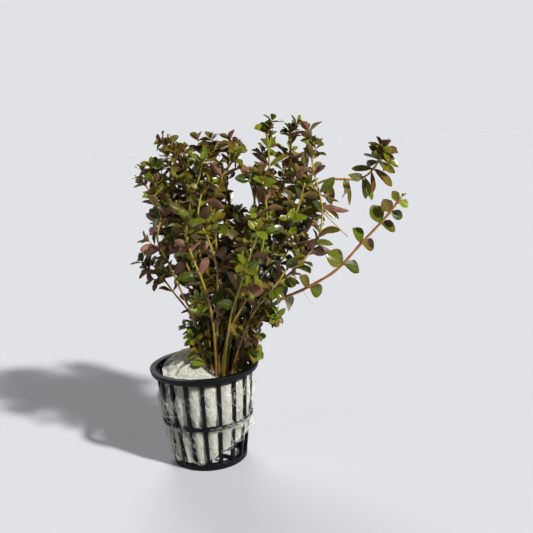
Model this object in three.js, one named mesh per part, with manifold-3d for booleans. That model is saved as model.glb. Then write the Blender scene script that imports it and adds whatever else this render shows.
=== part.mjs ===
// Potted Rotala rotundifolia: a black net pot, mineral wool, and a bunch of leafy shoots held in the wool.
// Millimetres, +Z up, origin at the centre of the pot's underside, -Y is the front.
import * as THREE from "three";
import { mergeVertices } from "three/addons/utils/BufferGeometryUtils.js";
import Module from "manifold-3d";

const wasm = await Module();
wasm.setup();

// Net pot: upright ribs between a rim, a hoop and a base ring
const ribCount = 18;
const ribWidth = 1.7;
const ribDepth = 1.6;
const potHeight = 47.5;
const rimHeight = 2.7;
const rimRadius = 26;
const rimInnerRadius = 22.8;
const wallTopRadius = 23.2;
const hoopHeight = 22.2;
const hoopBand = 2.1;
const hoopRadius = 21.8;
const hoopInnerRadius = 20.2;
const stepRadius = 20.5;
const baseBand = 3.4;
const baseRadius = 17.6;
const baseInnerRadius = 15.2;
const baseThickness = 1.8;
const baseDiscRadius = 5.2;
const spokeCount = 6;
const spokeWidth = 2.2;
const spokeInset = 0.5;
const ringSides = 36;

// Mineral wool: fills the pot, mounded at the left, short of the base at the right
const woolGap = 0.9;
const woolBulge = 0.8;
const woolLevel = 42.6;
const moundHeight = 10.4;
const moundCentre = [-7, 5];
const moundSpread = 9.5;
const woolFloor = 3.8;
const woolFloorSlope = 0.58;
const woolHollowDepth = 5;
const pocket = { centre: [7.7, 2], halfWidth: 8.4, halfDepth: 10.6, flare: 1.75, floor: 24, sides: 14 };

// Leaves and stems
const stemFootRadius = 0.62;
const stemTipRadius = 0.4;
const stemStep = 18;
const leafThickness = 0.55;
const leafRoundness = [1.15, 0.8];
const leafSag = 0.13;
const leafCup = 0.16;
const leafStations = [0.3, 0.72];
const smallLeaf = 9.4;
const smallLeafStation = 0.55;
const openLift = 62;
const closedLift = 26;
const leastLift = 26;
const backwardFrom = 0.42;
const facingShare = 0.8;
// Leaves still folded to the stem aren't turned to the light, and those past the second angle are fully.
const foldedLift = 30;
const turnedLift = 55;
const bushFoot = { x: 8, y: 8, z: 45 };
const bushLean = 0.17;
const bushSpread = 1.6;
const leafGap = 0.75;
// The open gap between the two lobes of the bunch: an oval that runs back through it
const openGap = { x: 23.6, y: -10, z: 129, slopeX: -0.027, slopeZ: -0.091, halfWidth: 5.6, halfHeight: 9.5 };
const youngShare = 0.42;
const ownStemGap = 0.6;
const potClearance = 0.6;
const nodeHalf = 0.55;
const budRise = 1.6;
const budRadius = 0.75;
const budLength = 2.4;
const quarterTurn = Math.PI / 2;

// Internodes shorten towards the tip: gap * (1 - tipCrowding * exp(-crowdingRate * pair))
const tipCrowding = 0.68;
const crowdingRate = 0.45;

// Every shoot: its route from the wool to the tip, how many leaf pairs it bears, the longest internode,
// the leaf length, the leaf width as a share of it, the azimuth of the first pair and the turn from pair
// to pair in degrees, and the colour of the whole shoot. The two long sprays also give how wide their
// leaves open, how much they hang, the direction that their faces turn to, and each node's distance from
// the tip in place of the pairs.
const green = "#5f7a1f";
const olive = "#6f6f22";
const maroon = "#6d3f36";
const bright = "#7f9a2a";
const shoots = {
  front_left: {
    route: [[5.6, -6, 29], [6, -8, 45], [7, -19, 73], [5, -27, 91], [1, -31, 106], [-1, -30, 117]],
    pairs: 5, gap: 9, leaf: 10, width: 0.47, spin: 20, turn: 90, colour: green,
  },
  front_centre: {
    route: [[8.6, -6.6, 29], [9.5, -9, 45], [15, -21, 74], [21, -29, 91], [27, -33, 107], [32, -34, 117]],
    pairs: 5, gap: 9.5, leaf: 10.5, width: 0.46, spin: 65, turn: 90, colour: bright,
  },
  right_low: {
    route: [[11.8, -5.6, 29], [14, -7.5, 47], [24, -14, 72], [34, -18, 85], [43, -16, 96], [50, -13, 106]],
    pairs: 5, gap: 9, leaf: 10, width: 0.5, spin: 10, turn: 90, colour: olive,
  },
  small_right: {
    route: [[13, -3.4, 29], [15.4, -5, 48], [21, -7.5, 58], [27, -9, 68], [32, -12, 74]],
    pairs: 4, gap: 7.5, leaf: 10.5, width: 0.45, spin: 50, turn: 55, colour: olive,
  },
  small_left: {
    route: [[2.6, -4.6, 30], [2, -6, 46], [0, -8.5, 56], [-2.5, -10.5, 66]],
    pairs: 3, gap: 7, leaf: 7, width: 0.6, spin: 80, turn: 70, colour: bright,
  },
  left_front: {
    route: [[5.2, -3.6, 29], [5.8, -5, 45], [9, -12, 76], [10.5, -20, 97], [8, -24, 111], [4.5, -24, 121], [7, -21, 133]],
    pairs: 5, gap: 9.5, leaf: 9.5, width: 0.47, spin: 45, turn: 90, colour: green,
  },
  golden_front: {
    route: [[7.8, -4, 29], [8.6, -5, 45], [13.4, -10, 65], [23, -14.5, 82], [29, -18, 98], [33, -20, 113], [34, -20, 123],
      [33, -19, 134]],
    pairs: 5, gap: 9.5, leaf: 9.5, width: 0.48, spin: 15, turn: 90, colour: green,
  },
  lime_front: {
    route: [[10.3, -3.2, 29], [11, -4.4, 46], [15.5, -6.5, 69], [20, -13, 89], [22, -17.5, 102], [26.5, -16.5, 114],
      [29, -15, 125], [27, -13, 136]],
    pairs: 5, gap: 9.5, leaf: 9.5, width: 0.5, spin: 80, turn: 90, colour: bright,
  },
  left_arch: {
    route: [[1.6, -1.9, 29.5], [0, -2.6, 48], [-2.5, -4.5, 69], [-7, -8, 84], [-11, -14, 99], [-15, -16, 111], [-13, -14, 121],
      [-16, -11, 131]],
    pairs: 6, gap: 7.8, leaf: 9.5, width: 0.52, spin: 85, turn: 90, colour: green,
  },
  left_centre: {
    route: [[4, -1.1, 29], [3.4, -1.8, 47], [3, -5, 77], [0, -12, 102], [0, -17, 122], [4, -17.5, 133], [7, -17, 141]],
    pairs: 4, gap: 9, leaf: 10, width: 0.46, spin: 5, turn: 90, colour: green,
  },
  gap_left: {
    route: [[6.6, -1.4, 29], [7, -1.8, 46], [11, -1.5, 78], [10, -5, 106], [11, -8.5, 127], [15, -10.5, 136], [20, -9, 143],
      [22, -7, 150]],
    pairs: 4, gap: 10, leaf: 9.5, width: 0.46, spin: 85, turn: 90, colour: olive,
  },
  top_centre: {
    route: [[9.4, -0.7, 29], [10, -1, 46], [20, -4, 78], [29, -7, 102], [35, -8, 124], [36.5, -4, 142], [36, -3, 157]],
    pairs: 5, gap: 11, leaf: 11, width: 0.46, spin: 80, turn: 90, colour: bright,
  },
  right_column: {
    route: [[12.6, -0.8, 29], [14.4, -1.8, 47], [25, -8, 75], [39, -12, 88], [50, -14, 98], [57, -12, 108], [59, -8, 121],
      [56, -4, 139], [57, -2, 150]],
    pairs: 7, gap: 10, leaf: 9.5, width: 0.5, spin: 75, turn: 70, colour: olive,
  },
  right_inner: {
    route: [[15.2, -0.6, 29], [17.4, -0.8, 49], [25.6, -3.8, 76], [34.5, -8.5, 95], [43.6, -11, 110], [48.7, -10, 122],
      [52, -8, 132]],
    pairs: 5, gap: 9.5, leaf: 10, width: 0.5, spin: 70, turn: 90, colour: green,
  },
  right_outer: {
    route: [[13.7, 5.2, 29.5], [15.6, 6.6, 50], [26.6, 12.5, 74], [41, 12.5, 94], [51, 11, 111], [55.5, 9.5, 125]],
    pairs: 5, gap: 9, leaf: 9.5, width: 0.5, spin: 75, turn: 80, colour: olive,
  },
  left_mid: {
    route: [[2, 0.4, 29], [1, -0.4, 49], [0.6, -1, 78], [-6, -3, 101], [-10.5, -6, 115], [-11, -8, 124], [-9, -8, 133]],
    pairs: 5, gap: 9, leaf: 9.5, width: 0.5, spin: 65, turn: 90, colour: green,
  },
  left_low: {
    route: [[0.3, 1.6, 29.5], [-1.7, 1.9, 50], [-4.4, 2.6, 69], [-12, 2.4, 82], [-18, 4.6, 90], [-25, 8, 94]],
    pairs: 4, gap: 7.5, leaf: 9, width: 0.48, spin: 60, turn: 90, colour: olive,
  },
  top_left: {
    route: [[3.5, 1.4, 29], [2.4, 1.8, 50], [3.4, 2.6, 78], [1, 3.6, 104], [-2, 2, 128], [-3, 0, 143], [-8, -2, 153]],
    pairs: 5, gap: 9.5, leaf: 8.5, width: 0.5, spin: 80, turn: 90, colour: olive,
  },
  gap_floor: {
    route: [[6.4, 1.2, 29], [7, 1.4, 47], [13.5, 3.5, 80], [19.5, 6.5, 104], [18, 7.5, 118], [14.5, 5, 128]],
    pairs: 4, gap: 8.5, leaf: 9.5, width: 0.48, spin: 30, turn: 90, colour: green,
  },
  crossing: {
    route: [[9, 1.8, 29], [10, 2.2, 47], [23.5, 6.5, 80], [36, 4, 103], [41, -1, 121], [37.5, -9, 131], [30, -9.5, 136]],
    pairs: 4, gap: 9, leaf: 10, width: 0.5, spin: 35, turn: 90, colour: maroon,
  },
  long_spray: {
    route: [[14.7, 1.4, 29], [17, 1, 51], [25, 0, 68], [38, -3, 77], [50, -6, 82.5], [64, -10, 91], [76, -14, 104],
      [86, -18, 115], [93, -20, 124]],
    nodes: [3, 8.5, 15, 27.5, 40.5, 60, 73], leaf: 8.2, width: 0.86, spin: 86, turn: 5, open: 84,
    face: [0.1, -0.94, 0.32], colour: olive,
  },
  far_left: {
    route: [[1.2, 3.4, 29.5], [-1.4, 4.4, 52], [-2.5, 8, 72], [-10, 10, 96], [-14, 6, 116], [-17, 2, 127], [-22, 0, 136]],
    pairs: 5, gap: 9, leaf: 9, width: 0.44, spin: 70, turn: 90, colour: maroon,
  },
  left_upper: {
    route: [[4.2, 4, 29], [2.4, 5.2, 53], [-0.6, 10.5, 77], [-5.4, 12, 103], [-10, 10, 123], [-13.5, 5, 133], [-17, 3, 141]],
    pairs: 4, gap: 8.5, leaf: 9, width: 0.5, spin: 25, turn: 90, colour: green,
  },
  red_stem: {
    route: [[6.9, 3.7, 29], [7, 4.4, 48], [8.5, 11, 80], [9.5, 13, 110], [10, 11, 131], [11, 8, 143], [12, 6, 150]],
    pairs: 4, gap: 9, leaf: 8.5, width: 0.48, spin: 60, turn: 90, colour: olive,
  },
  top_right: {
    route: [[11.5, 3.9, 29], [13, 5, 47], [22, 14.5, 81], [36, 14.5, 112], [45, 11, 135], [47, 7, 147], [46.5, 4, 156]],
    pairs: 6, gap: 9.5, leaf: 8.5, width: 0.52, spin: 75, turn: 90, colour: olive,
  },
  high_spray: {
    route: [[12.6, 1.3, 29], [15, 3.6, 50], [26, 10, 80], [43, 7.5, 106], [52, 2, 124.5], [62, -2, 131.5], [76, -6, 131.5],
      [83, -8, 136], [87.5, -10, 145]],
    nodes: [3.2, 6.5, 10.5, 17, 25, 34], leaf: 11.5, width: 0.34, spin: 20, turn: 35, open: 84, droop: 0.7,
    face: [0.2, -0.96, 0.2], colour: maroon,
  },
  left_back: {
    route: [[3, 6.7, 29.5], [0, 9, 53], [-3, 18.5, 78], [-9, 25, 106], [-12, 23.5, 129], [-11, 21, 142]],
    pairs: 4, gap: 9.5, leaf: 9.5, width: 0.48, spin: 50, turn: 90, colour: green,
  },
  top_left_inner: {
    route: [[5.6, 6.2, 29], [4.6, 7.7, 51], [2.2, 14, 79], [-2.4, 15, 107], [-7, 11, 128], [-4, 8.5, 141], [-2, 8, 149]],
    pairs: 4, gap: 9, leaf: 9, width: 0.46, spin: 0, turn: 90, colour: maroon,
  },
  pale_leaf: {
    route: [[8.2, 6.2, 29], [7.3, 8.4, 50], [6, 16.5, 78], [4, 18.5, 109], [4.5, 17, 133], [5, 15.5, 149]],
    pairs: 4, gap: 10, leaf: 11.5, width: 0.56, spin: 40, turn: 90, colour: bright,
  },
  right_mid: {
    route: [[11, 6.4, 29], [12.4, 8.2, 48], [22.5, 18.5, 77], [38.5, 22, 99], [48, 20, 121], [51, 16, 136]],
    pairs: 4, gap: 9.5, leaf: 9.5, width: 0.5, spin: 15, turn: 90, colour: olive,
  },
  broad_top: {
    route: [[7, 8.5, 29], [7, 11.4, 51], [8.8, 19.5, 78], [13, 22.5, 112], [16.5, 20, 136], [17.5, 18.5, 148]],
    pairs: 4, gap: 9.5, leaf: 10, width: 0.5, spin: 70, turn: 90, colour: green,
  },
  gap_back: {
    route: [[9.6, 8.4, 29], [10.2, 11.4, 49], [13.4, 22, 80], [18.5, 28, 101], [21, 29, 117]],
    pairs: 4, gap: 8, leaf: 9.5, width: 0.48, spin: 10, turn: 90, colour: green,
  },
  back_right: {
    route: [[12, 8.6, 29.5], [13.8, 11.6, 49], [23.5, 25, 79], [35, 32, 106], [42, 29, 128], [45, 25, 143]],
    pairs: 4, gap: 9.5, leaf: 9.5, width: 0.5, spin: 55, turn: 90, colour: olive,
  },
  back_left: {
    route: [[4.9, 9, 29.5], [3.6, 12.6, 52], [0.4, 24, 81], [-4, 33, 109], [-5, 31.5, 131]],
    pairs: 4, gap: 9.5, leaf: 9.5, width: 0.48, spin: 35, turn: 90, colour: green,
  },
  back_centre: {
    route: [[8.8, 10.7, 29.5], [8.8, 15, 50], [14.5, 27.5, 79], [25, 36, 108], [31, 33, 131], [34, 29, 145]],
    pairs: 4, gap: 10, leaf: 9.5, width: 0.48, spin: 65, turn: 90, colour: maroon,
  },
};

// A closed solid from a geometry: shared corners merged, zero-area triangles left out
function toSolid(geometry) {
  const bare = geometry.clone();
  bare.deleteAttribute("normal");
  bare.deleteAttribute("uv");
  const merged = mergeVertices(bare, 1e-5);
  const corners = merged.index.array;
  const kept = [];
  for (let i = 0; i < corners.length; i += 3) {
    const [a, b, c] = [corners[i], corners[i + 1], corners[i + 2]];
    if (a !== b && b !== c && c !== a) kept.push(a, b, c);
  }
  const mesh = new wasm.Mesh({
    numProp: 3,
    vertProperties: Float32Array.from(merged.attributes.position.array),
    triVerts: Uint32Array.from(kept),
  });
  return new wasm.Manifold(mesh);
}

function toGeometry(solid) {
  const mesh = solid.getMesh();
  const geometry = new THREE.BufferGeometry();
  geometry.setAttribute("position", new THREE.BufferAttribute(Float32Array.from(mesh.vertProperties), 3));
  geometry.setIndex(new THREE.BufferAttribute(Uint32Array.from(mesh.triVerts), 1));
  geometry.computeVertexNormals();
  return geometry;
}

function joined(solids) {
  return solids.reduce((whole, piece) => whole.add(piece));
}

// A geometry turned from three.js's Y axis to the plant's Z axis
function upright(geometry) {
  return geometry.rotateX(Math.PI / 2);
}

// A ring from its outline of [radius, height] pairs, listed counter-clockwise
function ring(outline, sides) {
  const points = [...outline, outline[0]].map(([radius, height]) => new THREE.Vector2(radius, height));
  return toSolid(upright(new THREE.LatheGeometry(points, sides, Math.PI / sides)));
}

// The wall's outer radius at a height: two straight tapers with a step at the hoop
function wallRadius(height) {
  const hoopTop = hoopHeight + hoopBand / 2;
  const hoopFoot = hoopHeight - hoopBand / 2;
  if (height >= hoopTop) {
    const share = (height - hoopTop) / (potHeight - rimHeight - hoopTop);
    return THREE.MathUtils.lerp(hoopRadius - 0.3, wallTopRadius, share);
  }
  if (height >= hoopFoot) {
    return THREE.MathUtils.lerp(stepRadius, hoopRadius - 0.3, (height - hoopFoot) / hoopBand);
  }
  return THREE.MathUtils.lerp(baseRadius, stepRadius, height / hoopFoot);
}

function rib(index) {
  const heights = [0.9, hoopHeight - hoopBand / 2, hoopHeight + hoopBand / 2, potHeight - rimHeight / 2];
  const outer = heights.map((height) => new THREE.Vector2(wallRadius(height), height));
  const inner = heights.map((height) => new THREE.Vector2(wallRadius(height) - ribDepth, height)).reverse();
  const outline = new THREE.Shape([...outer, ...inner]);
  const bar = new THREE.ExtrudeGeometry(outline, { depth: ribWidth, bevelEnabled: false });
  bar.translate(0, 0, -ribWidth / 2);
  upright(bar).rotateZ(-Math.PI / 2 + (index * 2 * Math.PI) / ribCount);
  return toSolid(bar);
}

function spoke(index) {
  const length = baseInnerRadius + 1;
  const bar = new THREE.BoxGeometry(length, spokeWidth, baseThickness - spokeInset);
  bar.translate(length / 2, 0, baseThickness / 2);
  bar.rotateZ(((index + 0.5) * 2 * Math.PI) / spokeCount);
  return toSolid(bar);
}

function netPot() {
  const rimFoot = potHeight - rimHeight;
  const rim = ring([
    [rimInnerRadius - 0.5, rimFoot], [rimRadius - 0.5, rimFoot], [rimRadius, potHeight], [rimInnerRadius, potHeight],
  ], ringSides);
  const hoopFoot = hoopHeight - hoopBand / 2;
  const hoop = ring([
    [hoopInnerRadius, hoopFoot], [hoopRadius, hoopFoot],
    [hoopRadius, hoopFoot + hoopBand], [hoopInnerRadius, hoopFoot + hoopBand],
  ], ribCount);
  const foot = ring([
    [baseInnerRadius, 0], [baseRadius, 0], [wallRadius(baseBand), baseBand], [baseInnerRadius, baseBand],
  ], ribCount);
  const disc = new THREE.CylinderGeometry(baseDiscRadius, baseDiscRadius, baseThickness, ringSides / 2);
  disc.translate(0, baseThickness / 2, 0);
  const ribs = Array.from({ length: ribCount }, (_, index) => rib(index));
  const spokes = Array.from({ length: spokeCount }, (_, index) => spoke(index));
  return joined([rim, hoop, foot, toSolid(upright(disc)), ...ribs, ...spokes]);
}

// Top of the wool: a level with a round mound on it
function woolTop(x, y) {
  const away = (x - moundCentre[0]) ** 2 + (y - moundCentre[1]) ** 2;
  return woolLevel + moundHeight * Math.exp(-away / (2 * moundSpread ** 2));
}

// Underside of the wool: it rises to the right
function woolBottom(x) {
  return woolFloor + woolFloorSlope * Math.max(0, x + 1);
}

// Side of the wool at an angle and a height: against the ribs, bulging between them, and drawn in
// at the upper left, where the inside of the pot shows
function woolSide(angle, height) {
  const bay = (1 - Math.cos(ribCount * (angle + Math.PI / 2))) / 2;
  const left = Math.max(0, -Math.cos(angle)) ** 2;
  const high = THREE.MathUtils.smoothstep(height, 34, 44);
  const inside = Math.min(wallRadius(height), height < 30 ? wallRadius(hoopHeight - hoopBand) : wallTopRadius);
  return inside - ribDepth - woolGap + woolBulge * bay - woolHollowDepth * left * high;
}

function mineralWool() {
  const sideHeights = [0, 0.44, 0.56, 1];
  const crownShares = [0.6, 0];
  const rows = [0, ...sideHeights.map(() => 1), ...crownShares];
  const profile = rows.map((share, row) => new THREE.Vector2(share, row));
  const body = upright(new THREE.LatheGeometry(profile, ringSides));
  const position = body.attributes.position;
  for (let i = 0; i < position.count; i += 1) {
    const row = Math.round(position.getZ(i));
    const angle = Math.atan2(position.getY(i), position.getX(i));
    const level = row < 1 ? 0 : sideHeights[Math.min(row - 1, sideHeights.length - 1)];
    const edge = woolSide(angle, THREE.MathUtils.lerp(woolFloor, woolLevel, level));
    const [x, y] = [Math.cos(angle) * edge * rows[row], Math.sin(angle) * edge * rows[row]];
    const isCrown = row >= sideHeights.length;
    const z = isCrown ? woolTop(x, y) : THREE.MathUtils.lerp(woolBottom(x), woolLevel, level);
    position.setXYZ(i, x, y, z);
  }
  const depth = 2 * moundHeight + woolLevel - pocket.floor;
  const hole = upright(new THREE.CylinderGeometry(pocket.flare, 1, depth, pocket.sides));
  hole.scale(pocket.halfWidth, pocket.halfDepth, 1);
  hole.translate(pocket.centre[0], pocket.centre[1], pocket.floor + depth / 2);
  return toSolid(body).subtract(toSolid(hole));
}

// Even spread of values from -1 to 1 for item n, a different one for each kind of variation
const spreadSteps = [0.754877666, 0.569840291, 0.618033989, 0.414213562, 0.732050808, 0.236067977];
function spread(n, kind) {
  const value = (n + 1) * spreadSteps[kind];
  return 2 * (value - Math.floor(value)) - 1;
}

// A shoot's route as points, each with its distance from the foot
function traced(route) {
  const curve = new THREE.CatmullRomCurve3(route.map((point) => new THREE.Vector3(...point)), false, "catmullrom", 0.5);
  const points = curve.getPoints(240);
  const reach = [0];
  for (let i = 1; i < points.length; i += 1) reach.push(reach[i - 1] + points[i].distanceTo(points[i - 1]));
  return { points, reach, length: reach[reach.length - 1] };
}

function pointAt({ points, reach, length }, distance) {
  const wanted = THREE.MathUtils.clamp(distance, 0, length);
  const next = Math.max(1, reach.findIndex((value) => value >= wanted));
  const share = (wanted - reach[next - 1]) / (reach[next] - reach[next - 1]);
  return points[next - 1].clone().lerp(points[next], share);
}

// The stem's direction at a distance, with two directions square to it: one to the back, one to the side
function frameAt(line, distance) {
  const along = pointAt(line, distance + 0.8).sub(pointAt(line, distance - 0.8)).normalize();
  const back = new THREE.Vector3(0, 1, 0).addScaledVector(along, -along.y).normalize();
  const side = along.clone().cross(back);
  return { along, back, side };
}

// Half the leaf's width along it, as a share of the greatest: sin(pi * t^a)^b
function outlineShare(t) {
  return Math.sin(Math.PI * t ** leafRoundness[0]) ** leafRoundness[1];
}

// A point of a leaf's blade: t runs from stem to tip, across from edge to edge as -1 to 1
function bladePoint(leaf, t, across, lift = 0) {
  const half = (leaf.width / 2) * outlineShare(Math.min(t, 1));
  const rise = lift - leafSag * leaf.length * t * t + leafCup * half * across * across;
  return leaf.base.clone()
    .addScaledVector(leaf.axis, leaf.length * t)
    .addScaledVector(leaf.cross, half * across)
    .addScaledVector(leaf.normal, rise);
}

// Direction that leaves near a point turn their faces to: away from the middle of the bush, and up
function facingAt({ x, y, z }) {
  const away = new THREE.Vector3(x - bushFoot.x - bushLean * (z - bushFoot.z), bushSpread * (y - bushFoot.y), 0);
  return away.normalize().multiplyScalar(0.8).add(new THREE.Vector3(0, -0.35, 0.45)).normalize();
}

// A leaf on a stem: azimuth around the stem, lift away from the stem's direction, and roll about its own
// axis. Its blade is turned most of the way towards the facing direction, or its back is.
function leafOn(line, shoot, distance, azimuthDegrees, liftDegrees, rollDegrees, backward, length, width) {
  const [azimuth, lift, roll] = [azimuthDegrees, liftDegrees, rollDegrees].map(THREE.MathUtils.degToRad);
  const { along, back, side } = frameAt(line, distance);
  const base = pointAt(line, distance);
  const outward = back.multiplyScalar(Math.cos(azimuth)).addScaledVector(side, Math.sin(azimuth));
  const axis = along.clone().multiplyScalar(Math.cos(lift)).addScaledVector(outward, Math.sin(lift));
  axis.z -= shoot.droop ?? 0;
  axis.normalize();
  const level = along.multiplyScalar(Math.sin(lift)).addScaledVector(outward, -Math.cos(lift));
  level.addScaledVector(axis, -level.dot(axis)).normalize();
  const facing = shoot.face ? new THREE.Vector3(...shoot.face) : facingAt(base);
  facing.addScaledVector(axis, -facing.dot(axis)).normalize();
  const share = facingShare * THREE.MathUtils.clamp((liftDegrees - foldedLift) / (turnedLift - foldedLift), 0, 1);
  const blend = level.multiplyScalar(1 - share).addScaledVector(facing, backward ? -share : share);
  blend.normalize();
  const flat = axis.clone().cross(blend);
  const normal = blend.multiplyScalar(Math.cos(roll)).addScaledVector(flat, Math.sin(roll));
  return { base, axis, normal, cross: axis.clone().cross(normal), length, width };
}

// Whether a point lies within a gap of a leaf's blade
function touchesBlade(leaf, point, gap) {
  const away = point.clone().sub(leaf.base);
  const t = away.dot(leaf.axis) / leaf.length;
  if (t < 0.12 || t > 1.06) return false;
  const half = (leaf.width / 2) * outlineShare(Math.min(t, 1)) + gap;
  const across = away.dot(leaf.cross);
  if (Math.abs(across) > half) return false;
  const share = Math.min(1, Math.abs(across) / half);
  const rise = -leafSag * leaf.length * t * t + leafCup * (leaf.width / 2) * share * share;
  return Math.abs(away.dot(leaf.normal) - rise) < gap;
}

const sampleStations = [0.2, 0.35, 0.5, 0.65, 0.8, 0.92, 1];
const sampleAcross = [-1, -0.5, 0, 0.5, 1];
function samplesOf(leaf) {
  return sampleStations.flatMap((t) => sampleAcross.map((across) => bladePoint(leaf, t, across)));
}

// Whether a point is in the open gap between the two lobes
function inGap({ x, y, z }) {
  const across = (x - openGap.x - openGap.slopeX * (y - openGap.y)) / openGap.halfWidth;
  const up = (z - openGap.z - openGap.slopeZ * (y - openGap.y)) / openGap.halfHeight;
  return across * across + up * up < 1;
}

// Whether a point is inside the wool, the rim or the space just over them
function touchesPot(point) {
  const radius = Math.hypot(point.x, point.y);
  if (radius > rimRadius + potClearance) return false;
  const floor = radius > rimInnerRadius - 2 ? potHeight : woolTop(point.x, point.y);
  return point.z < floor + potClearance;
}

// Distances of a shoot's leaf pairs from its foot, the youngest pair first. A shoot may give its nodes'
// distances from the tip itself.
function pairDistances(line, shoot) {
  if (shoot.nodes) return shoot.nodes.map((fromTip) => line.length - fromTip);
  let distance = line.length;
  return Array.from({ length: shoot.pairs }, (_, pair) => {
    distance -= shoot.gap * (1 - tipCrowding * Math.exp(-crowdingRate * pair));
    return distance;
  });
}

// Places every leaf in turn. A leaf that would meet a stem, another leaf or the wool is turned and
// lifted until it is clear, then tried shorter, and left out where there is no room for it.
const turnsTried = [[0, 0], [24, 0], [-24, 0], [0, 20], [0, -20], [28, -12], [-28, -12], [28, 12], [-28, 12]];
const sizesTried = [1, 0.72];
function growLeaves() {
  const lines = Object.values(shoots).map(({ route }) => traced(route));
  const stemPoints = lines.map((line) => {
    const count = Math.ceil(line.length / 1.2);
    return Array.from({ length: count + 1 }, (_, i) => pointAt(line, (line.length * i) / count));
  });
  const placed = [];
  let number = 0;
  Object.values(shoots).forEach((shoot, shootIndex) => {
    const line = lines[shootIndex];
    for (const [pair, distance] of pairDistances(line, shoot).entries()) {
      for (let half = 0; half < 2; half += 1) {
        number += 1;
        const young = 1 - youngShare * Math.exp(-pair * 0.9);
        const length = shoot.leaf * young * (1 + 0.14 * spread(number, 0));
        const width = length * shoot.width * (1 + 0.16 * spread(number, 1));
        const azimuth = shoot.spin + shoot.turn * pair + 180 * half + 16 * spread(number, 2);
        const lift = (shoot.open ?? openLift) - closedLift * Math.exp(-pair * 0.5) + 16 * spread(number, 3);
        const roll = 24 * spread(number, 4);
        const backward = !shoot.face && spread(number, 5) > backwardFrom;
        const found = firstClear(sizesTried.flatMap((size) => turnsTried.map(([turn, raise]) => () => leafOn(
          line, shoot, distance, azimuth + turn, Math.max(leastLift, lift + raise), roll, backward,
          length * size, width * size,
        ))), shootIndex, stemPoints, placed);
        if (found) placed.push({ ...found, shootIndex, pair, half, samples: samplesOf(found) });
      }
    }
  });
  return { lines, placed };
}

function firstClear(makers, shootIndex, stemPoints, placed) {
  for (const make of makers) {
    const leaf = make();
    if (isClear(leaf, shootIndex, stemPoints, placed)) return leaf;
  }
  return null;
}

function isClear(leaf, shootIndex, stemPoints, placed) {
  const samples = samplesOf(leaf);
  if (samples.some(touchesPot) || samples.some(inGap)) return false;
  const middle = bladePoint(leaf, 0.5, 0);
  for (const [index, points] of stemPoints.entries()) {
    const near = points.filter((point) => point.distanceTo(middle) < leaf.length * 0.5 + 2);
    const own = index === shootIndex;
    const clearance = own ? ownStemGap : leafGap + stemFootRadius * 0.6;
    if (near.some((point) => {
      if (own && point.distanceTo(leaf.base) < leaf.length * 0.4) return false;
      return touchesBlade(leaf, point, clearance);
    })) return false;
  }
  return placed.every((other) => {
    if (other.base.distanceTo(leaf.base) > other.length + leaf.length + 2) return true;
    if (other.samples.some((point) => touchesBlade(leaf, point, leafGap))) return false;
    return !samples.some((point) => touchesBlade(other, point, leafGap));
  });
}

// Rings of four corners along a stem: even steps on the bare stretch, two rings at each leaf pair, and
// two for the bud. Each ring is turned so that one of its sides faces the pair's leaves.
function stemRings(line, shoot, leaves) {
  const pairs = pairDistances(line, shoot).map((distance, pair) => ({ distance, pair })).reverse();
  const bareSteps = Math.ceil(pairs[0].distance / stemStep);
  const bare = Array.from({ length: bareSteps }, (_, step) => ({ distance: (pairs[0].distance * step) / bareSteps }));
  const marks = [...bare, ...pairs, { distance: line.length - budRise }, { distance: line.length }];
  const rings = [];
  let angle = THREE.MathUtils.degToRad(shoot.spin);
  for (const { distance, pair } of marks) {
    const azimuth = pair === undefined ? angle : THREE.MathUtils.degToRad(shoot.spin + shoot.turn * pair);
    const quarters = Math.round((azimuth - angle) / quarterTurn);
    angle = azimuth - quarters * quarterTurn;
    if (pair === undefined) {
      rings.push({ distance, angle, grown: [] });
    } else {
      const grown = leaves.filter((leaf) => leaf.pair === pair)
        .map((leaf) => ({ leaf, side: (((quarters + 2 * leaf.half) % 4) + 4) % 4 }));
      rings.push({ distance: distance - nodeHalf, angle, grown });
      rings.push({ distance: distance + nodeHalf, angle, grown: [] });
    }
  }
  return rings;
}

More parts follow.
